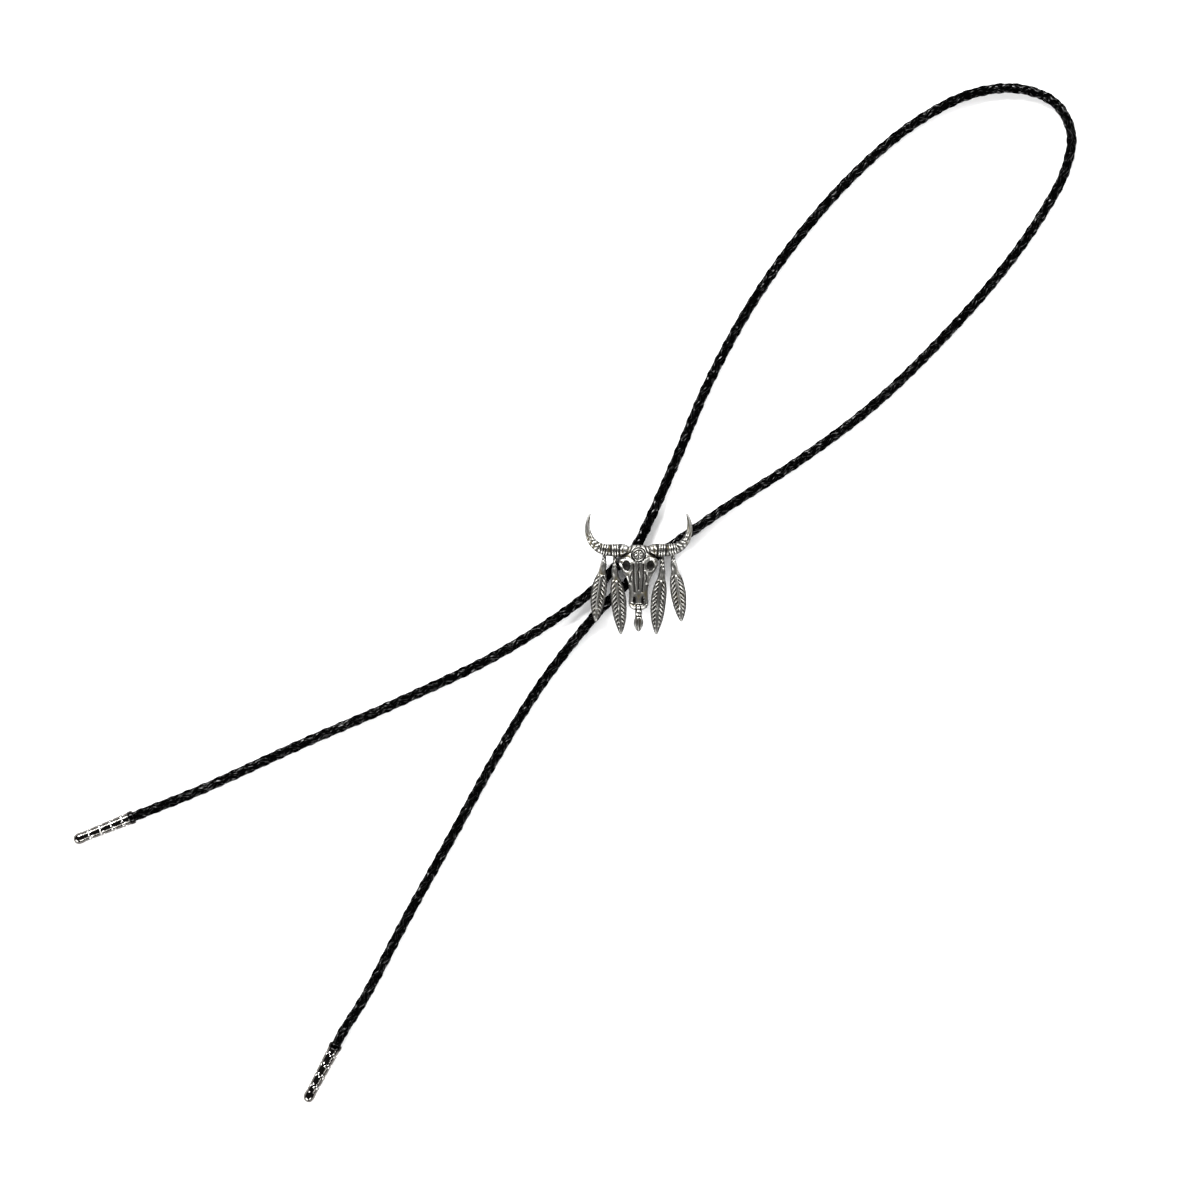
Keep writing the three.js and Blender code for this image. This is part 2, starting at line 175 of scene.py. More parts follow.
def catmull_rom(points, samples):
    """Points on a centripetal Catmull-Rom curve through the given ones."""
    padded = [2 * points[0] - points[1], *points, 2 * points[-1] - points[-2]]
    line = []
    for a, b, c, d in zip(padded, padded[1:], padded[2:], padded[3:]):
        gap_ab, gap_bc, gap_cd = ((q - p).length ** 0.5 for p, q in ((a, b), (b, c), (c, d)))
        leave = (b - a) / gap_ab - (c - a) / (gap_ab + gap_bc) + (c - b) / gap_bc
        arrive = (c - b) / gap_bc - (d - b) / (gap_bc + gap_cd) + (d - c) / gap_cd
        leave, arrive = leave * gap_bc, arrive * gap_bc
        for t in np.linspace(0, 1, samples, endpoint=False):
            line.append(
                b * (2 * t**3 - 3 * t**2 + 1)
                + leave * (t**3 - 2 * t**2 + t)
                + c * (3 * t**2 - 2 * t**3)
                + arrive * (t**3 - t**2)
            )
    return np.array([*line, points[-1]])


def travel(line):
    """How far along a line each of its points lies."""
    return np.r_[0, np.cumsum(np.linalg.norm(np.diff(line, axis=0), axis=1))]


def even_steps(line, step):
    """The same line with points an even step apart, and each point's distance from the start."""
    travelled = travel(line)
    distances = np.linspace(0, travelled[-1], int(travelled[-1] / step) + 1)
    return np.column_stack([np.interp(distances, travelled, axis) for axis in line.T]), distances


free_line = catmull_rom(route, SAMPLES_PER_SPAN)
left_end = np.array(left_seat[0] + NECK_DEPTH * left_seat[1])
low_end = np.array(low_seat[0] + NECK_DEPTH * low_seat[1])
centreline, distance = even_steps(np.vstack([left_end, free_line, low_end]), STEP)

# %% [markdown]
# ## The braid
# The cord is a round braid of eight flat leather laces on a core. Four wind one way and four the
# other, and each goes over one crossing and under the next. A plain tube with a bump map would
# keep a straight edge, while the real cord's outline is scalloped. So every lace is real geometry
# here: its middle winds round the centreline, moves out where it goes over and in where it goes
# under, and carries a flat section with round edges.

# %% Measure the laces
LACE_PITCH = 24.8  # length of one full turn of a lace
LACE_HALF_WIDTH = 1.12
LACE_HALF_THICKNESS = 0.27
LACE_RADIUS = 1.48  # from the middle of the cord to the middle of a lace
LACE_WEAVE = 0.25  # how far a lace moves out and in
LACE_BEND = 1.35  # radius that a lace's flat side is bent to by the one under it
CROSSINGS = 4  # times that a lace goes over in one turn
CORE_RADIUS = 1.2
CORD_DIAMETER = 4.0
NECK_CLEARANCE = 0.08  # between the cord's thinned end and a tip's inside
NECK_EASE = 0.8  # length over which the cord thins
# A lace's section from edge to edge over its outer side, then its inner side.
SECTION_ACROSS = np.array([-1.0, -0.78, -0.4, 0.0, 0.4, 0.78, 1.0, 0.0])
SECTION_OUT = np.array([-0.3, 0.72, 0.98, 1.0, 0.98, 0.72, -0.3, -1.0])
LACE_SIDES = len(SECTION_ACROSS)


def unit(vectors):
    """The same directions, each with a length of one."""
    return vectors / np.linalg.norm(vectors, axis=1)[:, None]


def cord_sides(line):
    """The side and upper directions at each point of the line."""
    heading = unit(np.gradient(line, axis=0))
    side = unit(np.cross([0, 0, 1], heading))
    return side, np.cross(heading, side)


def fade(value, low, high):
    """0 below low, 1 above high, and eased between."""
    share = np.clip((value - low) / (high - low), 0, 1)
    return share * share * (3 - 2 * share)


def cord_fullness(distances):
    """The cord's thickness as a share: whole outside the tips, and thinned to fit inside them."""
    inside = NECK_DEPTH - np.minimum(distances, distances[-1] - distances)
    neck = (body_radius(np.maximum(inside, 0)) - TIP_WALL - NECK_CLEARANCE) * 2 / CORD_DIAMETER
    return 1 + fade(inside, -NECK_EASE, 0) * (neck - 1)


def sections(middle, outward, fullness, across, out):
    """A closed section laid at every point of a lace's middle line."""
    along = unit(np.gradient(middle, axis=0))
    flat = unit(outward - np.sum(outward * along, axis=1)[:, None] * along)
    wide = np.cross(along, flat)
    return middle[:, None, :] + fullness[:, None, None] * (
        across[None, :, None] * wide[:, None, :] + out[None, :, None] * flat[:, None, :]
    )


def lace_points(line, distances, turn, start):
    """The points of one lace, as an array of section by section."""
    side, upper = cord_sides(line)
    fullness = cord_fullness(distances)
    angle = turn * 2 * math.pi * distances / LACE_PITCH + start
    outward = np.cos(angle)[:, None] * side + np.sin(angle)[:, None] * upper
    radius = LACE_RADIUS + turn * LACE_WEAVE * np.cos(CROSSINGS * angle)
    middle = line + (radius * fullness)[:, None] * outward
    across = LACE_HALF_WIDTH * SECTION_ACROSS
    out = LACE_HALF_THICKNESS * SECTION_OUT - across**2 / (2 * LACE_BEND)
    return sections(middle, outward, fullness, across, out)


def core_points(line, distances):
    """The points of the core, a plain tube under the laces."""
    _, upper = cord_sides(line)
    around = np.arange(LACE_SIDES) * 2 * math.pi / LACE_SIDES
    fullness = cord_fullness(distances)
    across, out = CORE_RADIUS * np.cos(around), CORE_RADIUS * np.sin(around)
    return sections(line, upper, fullness, across, out)


print(f"A lace is {2 * LACE_HALF_WIDTH:.1f} by {2 * LACE_HALF_THICKNESS:.2f} mm")

# %% [markdown]
# ## Weaving the laces into one mesh
# The laces and the core become one mesh. Each vertex also keeps three numbers in an attribute
# named lace: how far along the lace it is, how far across, and which lace it belongs to. The
# leather's grain can then follow each lace, instead of cutting straight through the braid.

# %% Weave the cord
LACES = [(turn, quarter * math.pi / 2) for turn in (1, -1) for quarter in range(4)]
GRAIN_GAP = 10.0  # keeps one lace's grain apart from the next one's


def lace_faces(first, rows):
    """Quads between neighbouring sections, and a cap on each end."""
    faces = []
    last = first + (rows - 1) * LACE_SIDES
    for here in range(first, last, LACE_SIDES):
        ahead = here + LACE_SIDES
        for corner in range(LACE_SIDES):
            following = (corner + 1) % LACE_SIDES
            faces.append((here + corner, here + following, ahead + following, ahead + corner))
    faces.append(tuple(first + corner for corner in reversed(range(LACE_SIDES))))
    faces.append(tuple(last + corner for corner in range(LACE_SIDES)))
    return faces


def weave_cord(line, distances):
    """The whole braid as one object, in metres."""
    strands = [lace_points(line, distances, turn, start) for turn, start in LACES]
    strands.append(core_points(line, distances))
    count = len(distances) * LACE_SIDES
    faces, marks = [], []
    for number in range(len(strands)):
        faces += lace_faces(number * count, len(distances))
        along = np.repeat(distances, LACE_SIDES)
        across = np.tile(LACE_HALF_WIDTH * SECTION_ACROSS, len(distances))
        marks.append(np.column_stack([along, across, np.full(count, GRAIN_GAP * number)]))
    points = np.vstack([strand.reshape(-1, 3) for strand in strands])
    mesh = bpy.data.meshes.new("cord_laces")
    mesh.from_pydata((points * MM).tolist(), [], faces)
    mark = mesh.attributes.new("lace", "FLOAT_VECTOR", "POINT")
    mark.data.foreach_set("vector", np.vstack(marks).astype(np.float32).ravel())
    cord = bpy.data.objects.new("cord_laces", mesh)
    bpy.context.scene.collection.objects.link(cord)
    return cord


cord = weave_cord(centreline, distance)
print(f"The braid has {2 * len(cord.data.polygons)} triangles")

# %% Hand the cord over
def select_only(*pieces):
    """Selects these pieces alone and makes the first one active."""
    bpy.ops.object.select_all(action="DESELECT")
    for piece in pieces:
        piece.select_set(True)
    bpy.context.view_layer.objects.active = pieces[0]


def edit_everything():
    """Opens the active mesh for editing with all of it selected."""
    bpy.ops.object.mode_set(mode="EDIT")
    bpy.ops.mesh.select_all(action="SELECT")


def face_outwards(piece):
    """Makes every face of a closed mesh point out."""
    select_only(piece)
    edit_everything()
    bpy.ops.mesh.normals_make_consistent(inside=False)
    bpy.ops.object.mode_set(mode="OBJECT")


def hand_over(piece, node):
    """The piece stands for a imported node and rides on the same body."""
    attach(piece, "root")
    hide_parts(node)


face_outwards(cord)
bpy.ops.object.shade_smooth()
hand_over(cord, "braided_cord")
print(f"The cord is handed over at {CORD_DIAMETER:.1f} mm thick")

# %% [markdown]
# ## Wear that several finishes share
# Old pewter and plate look worn for the same reason: ridges are rubbed and hollows keep dirt.
# Cycles can find hollows while it renders, but a measured value also survives an export. So the
# casting's mesh is smoothed in numbers only, and each vertex stores how far the smoothed skin lies
# above it. That is more than zero in a hollow and less than zero on a ridge. The tips are turned
# shapes, whose relief is measured from their plain wall instead.

# %% Measure hollows and ridges
def vertex_arrays(piece):
    """The places and normals of a mesh's vertices."""
    count = len(piece.data.vertices)
    places, normals = np.empty(count * 3), np.empty(count * 3)
    piece.data.vertices.foreach_get("co", places)
    piece.data.vertices.foreach_get("normal", normals)
    return places.reshape(-1, 3), normals.reshape(-1, 3)


def store(piece, name, values):
    """Keeps a number for each vertex under a name that materials can read."""
    mark = piece.data.attributes.new(name, "FLOAT", "POINT")
    mark.data.foreach_set("value", values.astype(np.float32))


def measure_hollows(piece, rounds):
    """Stores how deep each vertex lies in a hollow, in the mesh's own unit."""
    places, normals = vertex_arrays(piece)
    count = len(places)
    ends = np.empty(len(piece.data.edges) * 2, dtype=np.int64)
    piece.data.edges.foreach_get("vertices", ends)
    start, end = ends.reshape(-1, 2).T
    neighbours = np.maximum(np.bincount(np.r_[start, end], minlength=count), 1)
    smooth = places.copy()
    for _ in range(rounds):
        sums = [
            np.bincount(np.r_[start, end], weights=np.r_[axis[end], axis[start]], minlength=count)
            for axis in smooth.T
        ]
        smooth = 0.5 * smooth + 0.5 * np.column_stack(sums) / neighbours[:, None]
    depth = np.sum((smooth - places) * normals, axis=1)
    store(piece, "hollow", depth)
    return depth


print("Ready to measure hollows")

# %% [markdown]
# ## Small tools for node trees
# Every finish below is a handful of nodes. One helper adds a node with its settings, and another
# fills its inputs with values or links, so that each material reads as a list of what it is
# made of.

# %% Node helpers
def new_material(name):
    """A material, its node tree and its Principled shader."""
    material = bpy.data.materials.new(name)
    material.use_nodes = True
    return material, material.node_tree, material.node_tree.nodes["Principled BSDF"]


def fill_inputs(tree, node, values):
    """Sets a node's inputs to plain values, or links them to other nodes' outputs."""
    for socket, value in values.items():
        if isinstance(value, bpy.types.NodeSocket):
            tree.links.new(value, node.inputs[socket])
        else:
            node.inputs[socket].default_value = value


def add_node(tree, kind, values=None, **settings):
    """Adds a node, makes its settings and fills its inputs."""
    node = tree.nodes.new("ShaderNode" + kind)
    for setting, value in settings.items():
        setattr(node, setting, value)
    fill_inputs(tree, node, values or {})
    return node


def object_place(tree):
    """The place on the object, in metres."""
    return add_node(tree, "TexCoord").outputs["Object"]


def stored(tree, name):
    """The number that the mesh keeps under this name."""
    return add_node(tree, "Attribute", attribute_name=name).outputs["Fac"]


def mapped(tree, place, scale):
    """Coordinates stretched by a scale along each axis."""
    return add_node(tree, "Mapping", {"Vector": place, "Scale": scale}).outputs[0]


def noise(tree, place, scale, detail):
    """Cloudy noise at these coordinates."""
    values = {"Vector": place, "Scale": scale, "Detail": detail}
    return add_node(tree, "TexNoise", values).outputs[0]


def mix_colours(tree, share, first, second):
    """A colour between two others."""
    return add_node(tree, "Mix", {0: share, 6: first, 7: second}, data_type="RGBA").outputs[2]


def graded(tree, value, low, high, to_low=0.0, to_high=1.0):
    """A value's way from low to high, eased at both ends."""
    ranges = {
        "Value": value, "From Min": low, "From Max": high, "To Min": to_low, "To Max": to_high
    }
    return add_node(tree, "MapRange", ranges, interpolation_type="SMOOTHSTEP").outputs[0]


def calculated(tree, operation, first, second):
    """A sum on two values."""
    return add_node(tree, "Math", {0: first, 1: second}, operation=operation).outputs[0]


print("Node helpers ready")

# %% [markdown]
# ## A shared effect: rubbed and grimy
# Pewter and plate both use this group. It turns the measured hollows into two masks, one for the
# grime that stays down in them and one for the ridges that hands have rubbed. A little noise
# breaks up the edges of both, because real wear is never even.

# %% Group for wear
def new_group(name, inputs, outputs):
    """An empty node group with these sockets, and its two end nodes."""
    tree = bpy.data.node_groups.new(name, "ShaderNodeTree")
    for label, kind, value in inputs:
        socket = tree.interface.new_socket(label, in_out="INPUT", socket_type="NodeSocket" + kind)
        if value is not None:
            socket.default_value = value
    for label, kind in outputs:
        tree.interface.new_socket(label, in_out="OUTPUT", socket_type="NodeSocket" + kind)
    return tree, tree.nodes.new("NodeGroupInput"), tree.nodes.new("NodeGroupOutput")


def wear_group():
    """Masks for grimy hollows and rubbed ridges."""
    tree, given, made = new_group(
        "wear_masks",
        [("Hollow", "Float", 0.0), ("Grime Depth", "Float", 0.1), ("Rub Height", "Float", 0.1),
         ("Patch Size", "Float", 1.0), ("Unevenness", "Float", 0.3)],
        [("Grime", "Float"), ("Rub", "Float")],
    )
    place = object_place(tree)
    per_metre = calculated(tree, "DIVIDE", 1000.0, given.outputs["Patch Size"])
    swing = calculated(tree, "SUBTRACT", noise(tree, place, per_metre, 4.0), 0.5)
    swing = calculated(tree, "MULTIPLY", swing, given.outputs["Unevenness"])
    grime = calculated(tree, "DIVIDE", given.outputs["Hollow"], given.outputs["Grime Depth"])
    rub = calculated(tree, "DIVIDE", given.outputs["Hollow"], given.outputs["Rub Height"])
    grime = graded(tree, calculated(tree, "ADD", grime, swing), 0.0, 1.0)
    rub = graded(tree, calculated(tree, "SUBTRACT", swing, rub), 0.0, 1.0)
    fill_inputs(tree, made, {"Grime": grime, "Rub": rub})
    return tree


wear_masks = wear_group()
print("Group made:", wear_masks.name)

# %% [markdown]
# ## A shared effect: fine grain
# Leather, cast metal and brushed steel all have a surface that is rough at a scale far below a
# millimetre. One group makes that grain from two sizes of noise on any coordinates and turns it
# into a normal, so each material only says how big, how stretched and how deep its grain is.

# %% Group for grain
def grain_group():
    """A normal from two sizes of noise."""
    tree, given, made = new_group(
        "fine_grain",
        [("Place", "Vector", None), ("Size", "Float", 0.3), ("Depth", "Float", 0.02),
         ("Coarse Share", "Float", 0.5)],
        [("Normal", "Vector"), ("Height", "Float")],
    )
    per_unit = calculated(tree, "DIVIDE", 1.0, given.outputs["Size"])
    coarse_scale = calculated(tree, "MULTIPLY", per_unit, 0.25)
    fine = noise(tree, given.outputs["Place"], per_unit, 3.0)
    coarse = noise(tree, given.outputs["Place"], coarse_scale, 2.0)
    blend = {0: given.outputs["Coarse Share"], 2: fine, 3: coarse}
    height = add_node(tree, "Mix", blend, data_type="FLOAT").outputs[0]
    reach = calculated(tree, "MULTIPLY", given.outputs["Depth"], MM)
    bump = add_node(tree, "Bump", {"Strength": 1.0, "Distance": reach, "Height": height})
    fill_inputs(tree, made, {"Normal": bump.outputs["Normal"], "Height": height})
    return tree


fine_grain = grain_group()
print("Group made:", fine_grain.name)

# %% [markdown]
# ## Black leather
# The laces are cut from dyed, waxed leather. Pulling a lace tight gives it small creases along its
# length, and the wax on their tops catches the light in thin grey streaks, with dull black between
# them. The coordinates come from the lace attribute, stretched along the lace, so the streaks
# follow every turn of the braid.

# %% Finish the leather
def black_leather():
    """Dyed, waxed leather that follows the laces."""
    material, tree, shader = new_material("black_leather")
    lace = add_node(tree, "Attribute", attribute_name="lace").outputs["Vector"]
    creased = mapped(tree, lace, (0.34, 3.0, 1.0))
    grain = {"Place": creased, "Size": 0.6, "Depth": 0.07, "Coarse Share": 0.3}
    normal, _ = add_node(tree, "Group", grain, node_tree=fine_grain).outputs
    waxed = graded(tree, noise(tree, creased, 1.0, 2.0), 0.57, 0.63)
    finish = {
        "Base Color": (0.0006, 0.0006, 0.0006, 1),
        "Roughness": graded(tree, waxed, 0.0, 1.0, 0.3, 0.28),
        "Specular IOR Level": graded(tree, waxed, 0.0, 1.0, 0.0, 0.75),
        "Normal": normal,
    }
    fill_inputs(tree, shader, finish)
    return material


cord.data.materials.append(black_leather())
print("Leather on the cord")

# %% [markdown]
# ## Modelling small things
# Blender's operators merge and round at distances that suit furniture: a tenth of a millimetre is
# their idea of nothing. A bolo tip is only 5 mm across. So each small metal piece is modelled a
# thousand times too large, with one unit for a millimetre, and shrunk once it is finished.

# %% Helpers for modelling
def shaped(name):
    """Names the active object and leaves edit mode."""
    if bpy.context.mode != "OBJECT":
        bpy.ops.object.mode_set(mode="OBJECT")
    piece = bpy.context.object
    piece.name = name
    piece.data.name = name
    return piece


def apply_modifier(piece, kind, **settings):
    """Adds a modifier with these settings and applies it."""
    select_only(piece)
    modifier = piece.modifiers.new(kind.lower(), kind)
    for setting, value in settings.items():
        setattr(modifier, setting, value)
    bpy.ops.object.modifier_apply(modifier=modifier.name)


def duplicate(piece, name):
    """A copy of a piece, with a mesh of its own."""
    copy = piece.copy()
    copy.data = piece.data.copy()
    copy.name = name
    copy.data.name = name
    bpy.context.scene.collection.objects.link(copy)
    return copy


def shrink_to_place(piece, place, turn):
    """Moves a piece modelled in millimetres to its place in metres, with the place in its mesh."""
    select_only(piece)
    piece.rotation_mode = "QUATERNION"
    piece.rotation_quaternion = turn
    piece.location = Vector(place) * MM
    piece.scale = (MM, MM, MM)
    bpy.ops.object.transform_apply(location=True, rotation=True, scale=True)


print("Modelling helpers ready")

# %% [markdown]
# ## The tips
# A tip is pressed from thin sheet. Its lip is rolled outwards so that it doesn't cut the cord.
# Four bands of raised dots decorate the body, fine rings fill the space between them, and the end
# is a smooth bulb. A lathe shape like this could be spun from a profile. Extruding one circle
# ring by ring does the same, and each ring's place and size can be a formula.

# %% List a tip's rings
TIP_SEGMENTS = 40
LIP_THICKNESS = 0.5
BAND_COUNT = 4
BAND_PITCH = 4.4
FIRST_BAND = 4.1
BAND_HALF_WIDTH = 0.95
RING_PITCH = 0.56
RING_RISE = 0.022
RING_SAMPLES = 6
SOCKET_EDGE = 0.08  # rounding of the rim between lip and socket
RING_START = 0.05  # how far past the lip the first ring starts
RING_EASE = 0.1  # length over which the rings fade into a band
BULB_ROUNDNESS = 0.85  # less than 1 makes the bulb's end fuller than a ball


def bands():
    """Where the middle of each dot band lies."""
    return [FIRST_BAND + number * BAND_PITCH for number in range(BAND_COUNT)]


def body_rings():
    """The tapering wall with fine raised rings outside the dot bands."""
    start, end = LIP_LENGTH + RING_START, NECK_AT * TIP_LENGTH
    steps = round((end - start) / RING_PITCH * RING_SAMPLES)
    rings = []
    for at in np.linspace(start, end, steps):
        clear = min(abs(at - middle) for middle in bands()) - BAND_HALF_WIDTH
        ringed = min(max(clear / RING_EASE, 0), 1)
        groove = 0.5 + 0.5 * math.cos(2 * math.pi * (at - start) / RING_PITCH)
        rings.append((at, body_radius(at) + RING_RISE * (1 - ringed * groove)))
    return rings


def bulb_rings():
    """The smooth bulb that ends the tip."""
    neck = NECK_AT * TIP_LENGTH
    neck_radius = NECK_SHARE * MOUTH_RADIUS
    bulb_radius = BULB_SHARE * MOUTH_RADIUS
    bulb_middle = BULB_AT * TIP_LENGTH
    rings = []
    for turn in np.linspace(0, math.pi / 2, 6)[1:]:
        at = neck + (bulb_middle - neck) * (1 - math.cos(turn))
        rings.append((at, neck_radius + (bulb_radius - neck_radius) * math.sin(turn)))
    for turn in np.linspace(0, math.pi / 2, 9)[1:-1]:
        at = bulb_middle + (TIP_LENGTH - bulb_middle) * math.sin(turn)
        rings.append((at, bulb_radius * math.cos(turn) ** BULB_ROUNDNESS))
    return rings


def lip_rings():
    """The rolled lip, from the socket's edge out and round to the body."""
    inner = MOUTH_RADIUS - TIP_WALL
    middle = LIP_RADIUS - LIP_THICKNESS / 2 - 0.02
    rings = [(0.1, inner), (0.0, inner + SOCKET_EDGE)]
    for turn in np.linspace(-80, 85, 9):
        angle = math.radians(turn)
        at = LIP_LENGTH / 2 * (1 + math.sin(angle))
        rings.append((at, middle + (LIP_RADIUS - middle) * math.cos(angle)))
    return rings


socket_rings = [(SOCKET_DEPTH, body_radius(SOCKET_DEPTH) - TIP_WALL)]
tip_rings = [*socket_rings, *lip_rings(), *body_rings(), *bulb_rings()]
print(f"A tip has {len(tip_rings)} rings")

# %% Turn a tip and cover it in dots
DOT_RADIUS = 0.38
DOT_RISE = 0.19
DOTS_AROUND = 8
DOT_ROW_GAP = 0.9


def turned(name, rings, segments):
    """A turned piece, made by extruding a filled circle from ring to ring."""
    (at, radius), *others = rings
    bpy.ops.mesh.primitive_circle_add(
        vertices=segments, radius=radius, fill_type="NGON", location=(0, 0, at)
    )
    bpy.ops.object.transform_apply(location=True)
    edit_everything()
    for next_at, next_radius in others:
        bpy.ops.mesh.extrude_region_move(TRANSFORM_OT_translate={"value": (0, 0, next_at - at)})
        share = next_radius / radius
        bpy.ops.transform.resize(value=(share, share, 1), center_override=(0, 0, next_at))
        at, radius = next_at, next_radius
    return shaped(name)


def dot():
    """One raised dot, a low dome on the outside of the tip at its right."""
    bpy.ops.mesh.primitive_uv_sphere_add(segments=12, ring_count=8, radius=DOT_RADIUS)
    edit_everything()
    bpy.ops.transform.resize(value=(DOT_RISE / DOT_RADIUS, 1, 1))
    return shaped("dot")


def add_dots(tip):
    """Joins all the dots of all the bands to a tip."""
    first = dot()
    dots = []
    for middle in bands():
        for row, at in enumerate((middle - DOT_ROW_GAP / 2, middle + DOT_ROW_GAP / 2)):
            out = body_radius(at)
            for number in range(DOTS_AROUND):
                angle = 2 * math.pi * (number + (row + 1) / 2) / DOTS_AROUND
                copy = duplicate(first, "dot")
                copy.location = (math.cos(angle) * out, math.sin(angle) * out, at)
                copy.rotation_euler.z = angle
                dots.append(copy)
    bpy.data.objects.remove(first)
    select_only(tip, *dots)
    bpy.ops.object.join()


def measure_relief(tip):
    """Stores how far along the tip each vertex lies, and how low between its rings and dots."""
    places, _ = vertex_arrays(tip)
    along = places[:, 2]
    raised = np.hypot(places[:, 0], places[:, 1]) - body_radius(along)
    on_body = (along > LIP_LENGTH) & (along < NECK_AT * TIP_LENGTH)
    store(tip, "along", along)
    store(tip, "hollow", np.where(on_body, RING_RISE / 2 - raised, 0))


tip = turned("tip_left", tip_rings, TIP_SEGMENTS)
face_outwards(tip)
add_dots(tip)
select_only(tip)
bpy.ops.object.shade_smooth()
measure_relief(tip)
print(f"A tip has {len(tip.data.polygons)} faces")

# %% Lay both tips at the ends of the cord
def lay_tip(name, source, seat):
    """A copy of the tip, at its seat and along its heading."""
    copy = duplicate(source, name)
    place, heading = seat
    shrink_to_place(copy, place, heading.to_track_quat("Z", "Y"))
    return copy


low_tip = lay_tip("tip_low", tip, low_seat)
left_tip = lay_tip("tip_upper_left", tip, left_seat)
bpy.data.objects.remove(tip)
hand_over(left_tip, "cord_tip_left")
hand_over(low_tip, "cord_tip_right")
for place, _ in (left_seat, low_seat):
    print("A tip starts at", [round(number, 1) for number in place])

# %% [markdown]
# ## Bright plate
# The tips are nickel-plated. Polished plate is a mirror, so its look comes from the lamps. Old
# plate is dull and dark with tarnish, most of all between the rings, and only the dots are rubbed
# bright. The collar is painted near-black, as painted shade where the cord enters the tip. The
# haze from handling is uneven, so noise sets the roughness.

# %% Finish the plate
def bright_plate():
    """Tarnished plate with rubbed dots and a collar painted dark as shade."""
    material, tree, shader = new_material("bright_plate")
    wear = {
        "Hollow": stored(tree, "hollow"),
        "Grime Depth": 0.012,
        "Rub Height": 0.16,
        "Patch Size": 0.8,
        "Unevenness": 0.15,
    }
    grime, rub = add_node(tree, "Group", wear, node_tree=wear_masks).outputs
    colour = mix_colours(tree, grime, (0.12, 0.115, 0.108, 1), (0.008, 0.0075, 0.007, 1))
    colour = mix_colours(tree, rub, colour, (0.9, 0.89, 0.87, 1))
    # Painted shade: the collar is painted near-black where the cord enters the tip.
    collar_shade = graded(tree, stored(tree, "along"), LIP_LENGTH - 0.1, LIP_LENGTH + 0.1, 1.0, 0.0)
    colour = mix_colours(tree, collar_shade, colour, (0.012, 0.012, 0.012, 1))
    place = object_place(tree)
    haze = graded(tree, noise(tree, place, 700.0, 4.0), 0.3, 0.7, 0.07, 0.14)
    finish = {
        "Base Color": colour,
        "Metallic": 1.0,
        "Specular Tint": (0.7, 0.66, 0.63, 1),
        "Roughness": calculated(tree, "ADD", haze, calculated(tree, "MULTIPLY", grime, 0.2)),
    }
    fill_inputs(tree, shader, finish)
    return material


plate = bright_plate()
for piece in (left_tip, low_tip):
    piece.data.materials.append(plate)
print("Plate on both tips")

# %% [markdown]
# ## The clip and its rivet
# The clip is a sleeve of sheet steel, flattened so that two strands lie side by side in it. A box
# with its long edges fully rounded has that outline. Insetting both ends by the wall and bridging
# the two inner faces makes the channel, which keeps the wall even all the way round.

# %% Make the clip
CLIP_LENGTH = 7.0
CLIP_WALL = 0.8
CLIP_HEIGHT = 6.2
CLIP_WIDTH = 2 * STRAND_SIDE + CLIP_HEIGHT
CLIP_ROUNDING = 0.999 * CLIP_HEIGHT / 2  # a little under half, so that no two corners meet
CLIP_RIM = 0.14
SMOOTH_ANGLE = math.radians(35)
RIVET_RADIUS = 0.9
RIVET_HEAD_RADIUS = 1.4
RIVET_HEAD_HEIGHT = 0.8
RIVET_EDGE = 0.08


def select_where(kind, test):
    """In edit mode, selects the faces, edges or vertices that pass the test."""
    shell = bmesh.from_edit_mesh(bpy.context.edit_object.data)
    shell.select_mode = {kind}
    for part in (*shell.faces, *shell.edges, *shell.verts):
        part.select = False
    for part in {"FACE": shell.faces, "EDGE": shell.edges, "VERT": shell.verts}[kind]:
        part.select_set(test(part))
    shell.select_flush_mode()
    bmesh.update_edit_mesh(bpy.context.edit_object.data)


def runs_lengthwise(edge):
    """Whether an edge runs the whole way along Y."""
    return abs(edge.verts[0].co.y - edge.verts[1].co.y) > CLIP_LENGTH / 2


def clip_sleeve():
    """The flattened sleeve with rounded sides and softened rims."""
    bpy.ops.mesh.primitive_cube_add(
        size=1, location=(0, 0, CLIP_HEIGHT / 2), scale=(CLIP_WIDTH, CLIP_LENGTH, CLIP_HEIGHT)
    )
    bpy.ops.object.transform_apply(location=True, scale=True)
    bpy.ops.object.mode_set(mode="EDIT")
    select_where("EDGE", runs_lengthwise)
    bpy.ops.mesh.bevel(offset=CLIP_ROUNDING, segments=12, affect="EDGES")
    select_where("FACE", lambda face: abs(face.normal.y) > 0.9)
    bpy.ops.mesh.inset(thickness=CLIP_WALL, use_even_offset=True)
    bpy.ops.mesh.bridge_edge_loops()
    sleeve = shaped("slide_clip")
    face_outwards(sleeve)
    apply_modifier(
        sleeve, "BEVEL", width=CLIP_RIM, segments=2, limit_method="ANGLE", angle_limit=1.2
    )
    return sleeve


clip = clip_sleeve()
bpy.ops.mesh.primitive_cylinder_add(
    vertices=32, radius=RIVET_RADIUS + FIT_GAP, depth=4 * CLIP_WALL, location=(0, 0, CLIP_HEIGHT)
)
drill = shaped("drill")
apply_modifier(clip, "BOOLEAN", operation="DIFFERENCE", object=drill)
bpy.data.objects.remove(drill)
face_outwards(clip)
bpy.ops.object.shade_smooth_by_angle(angle=SMOOTH_ANGLE)
shrink_to_place(clip, (0, 0, 0), Quaternion())
hand_over(clip, "cord_clip")
print(f"The clip has {len(clip.data.polygons)} faces")

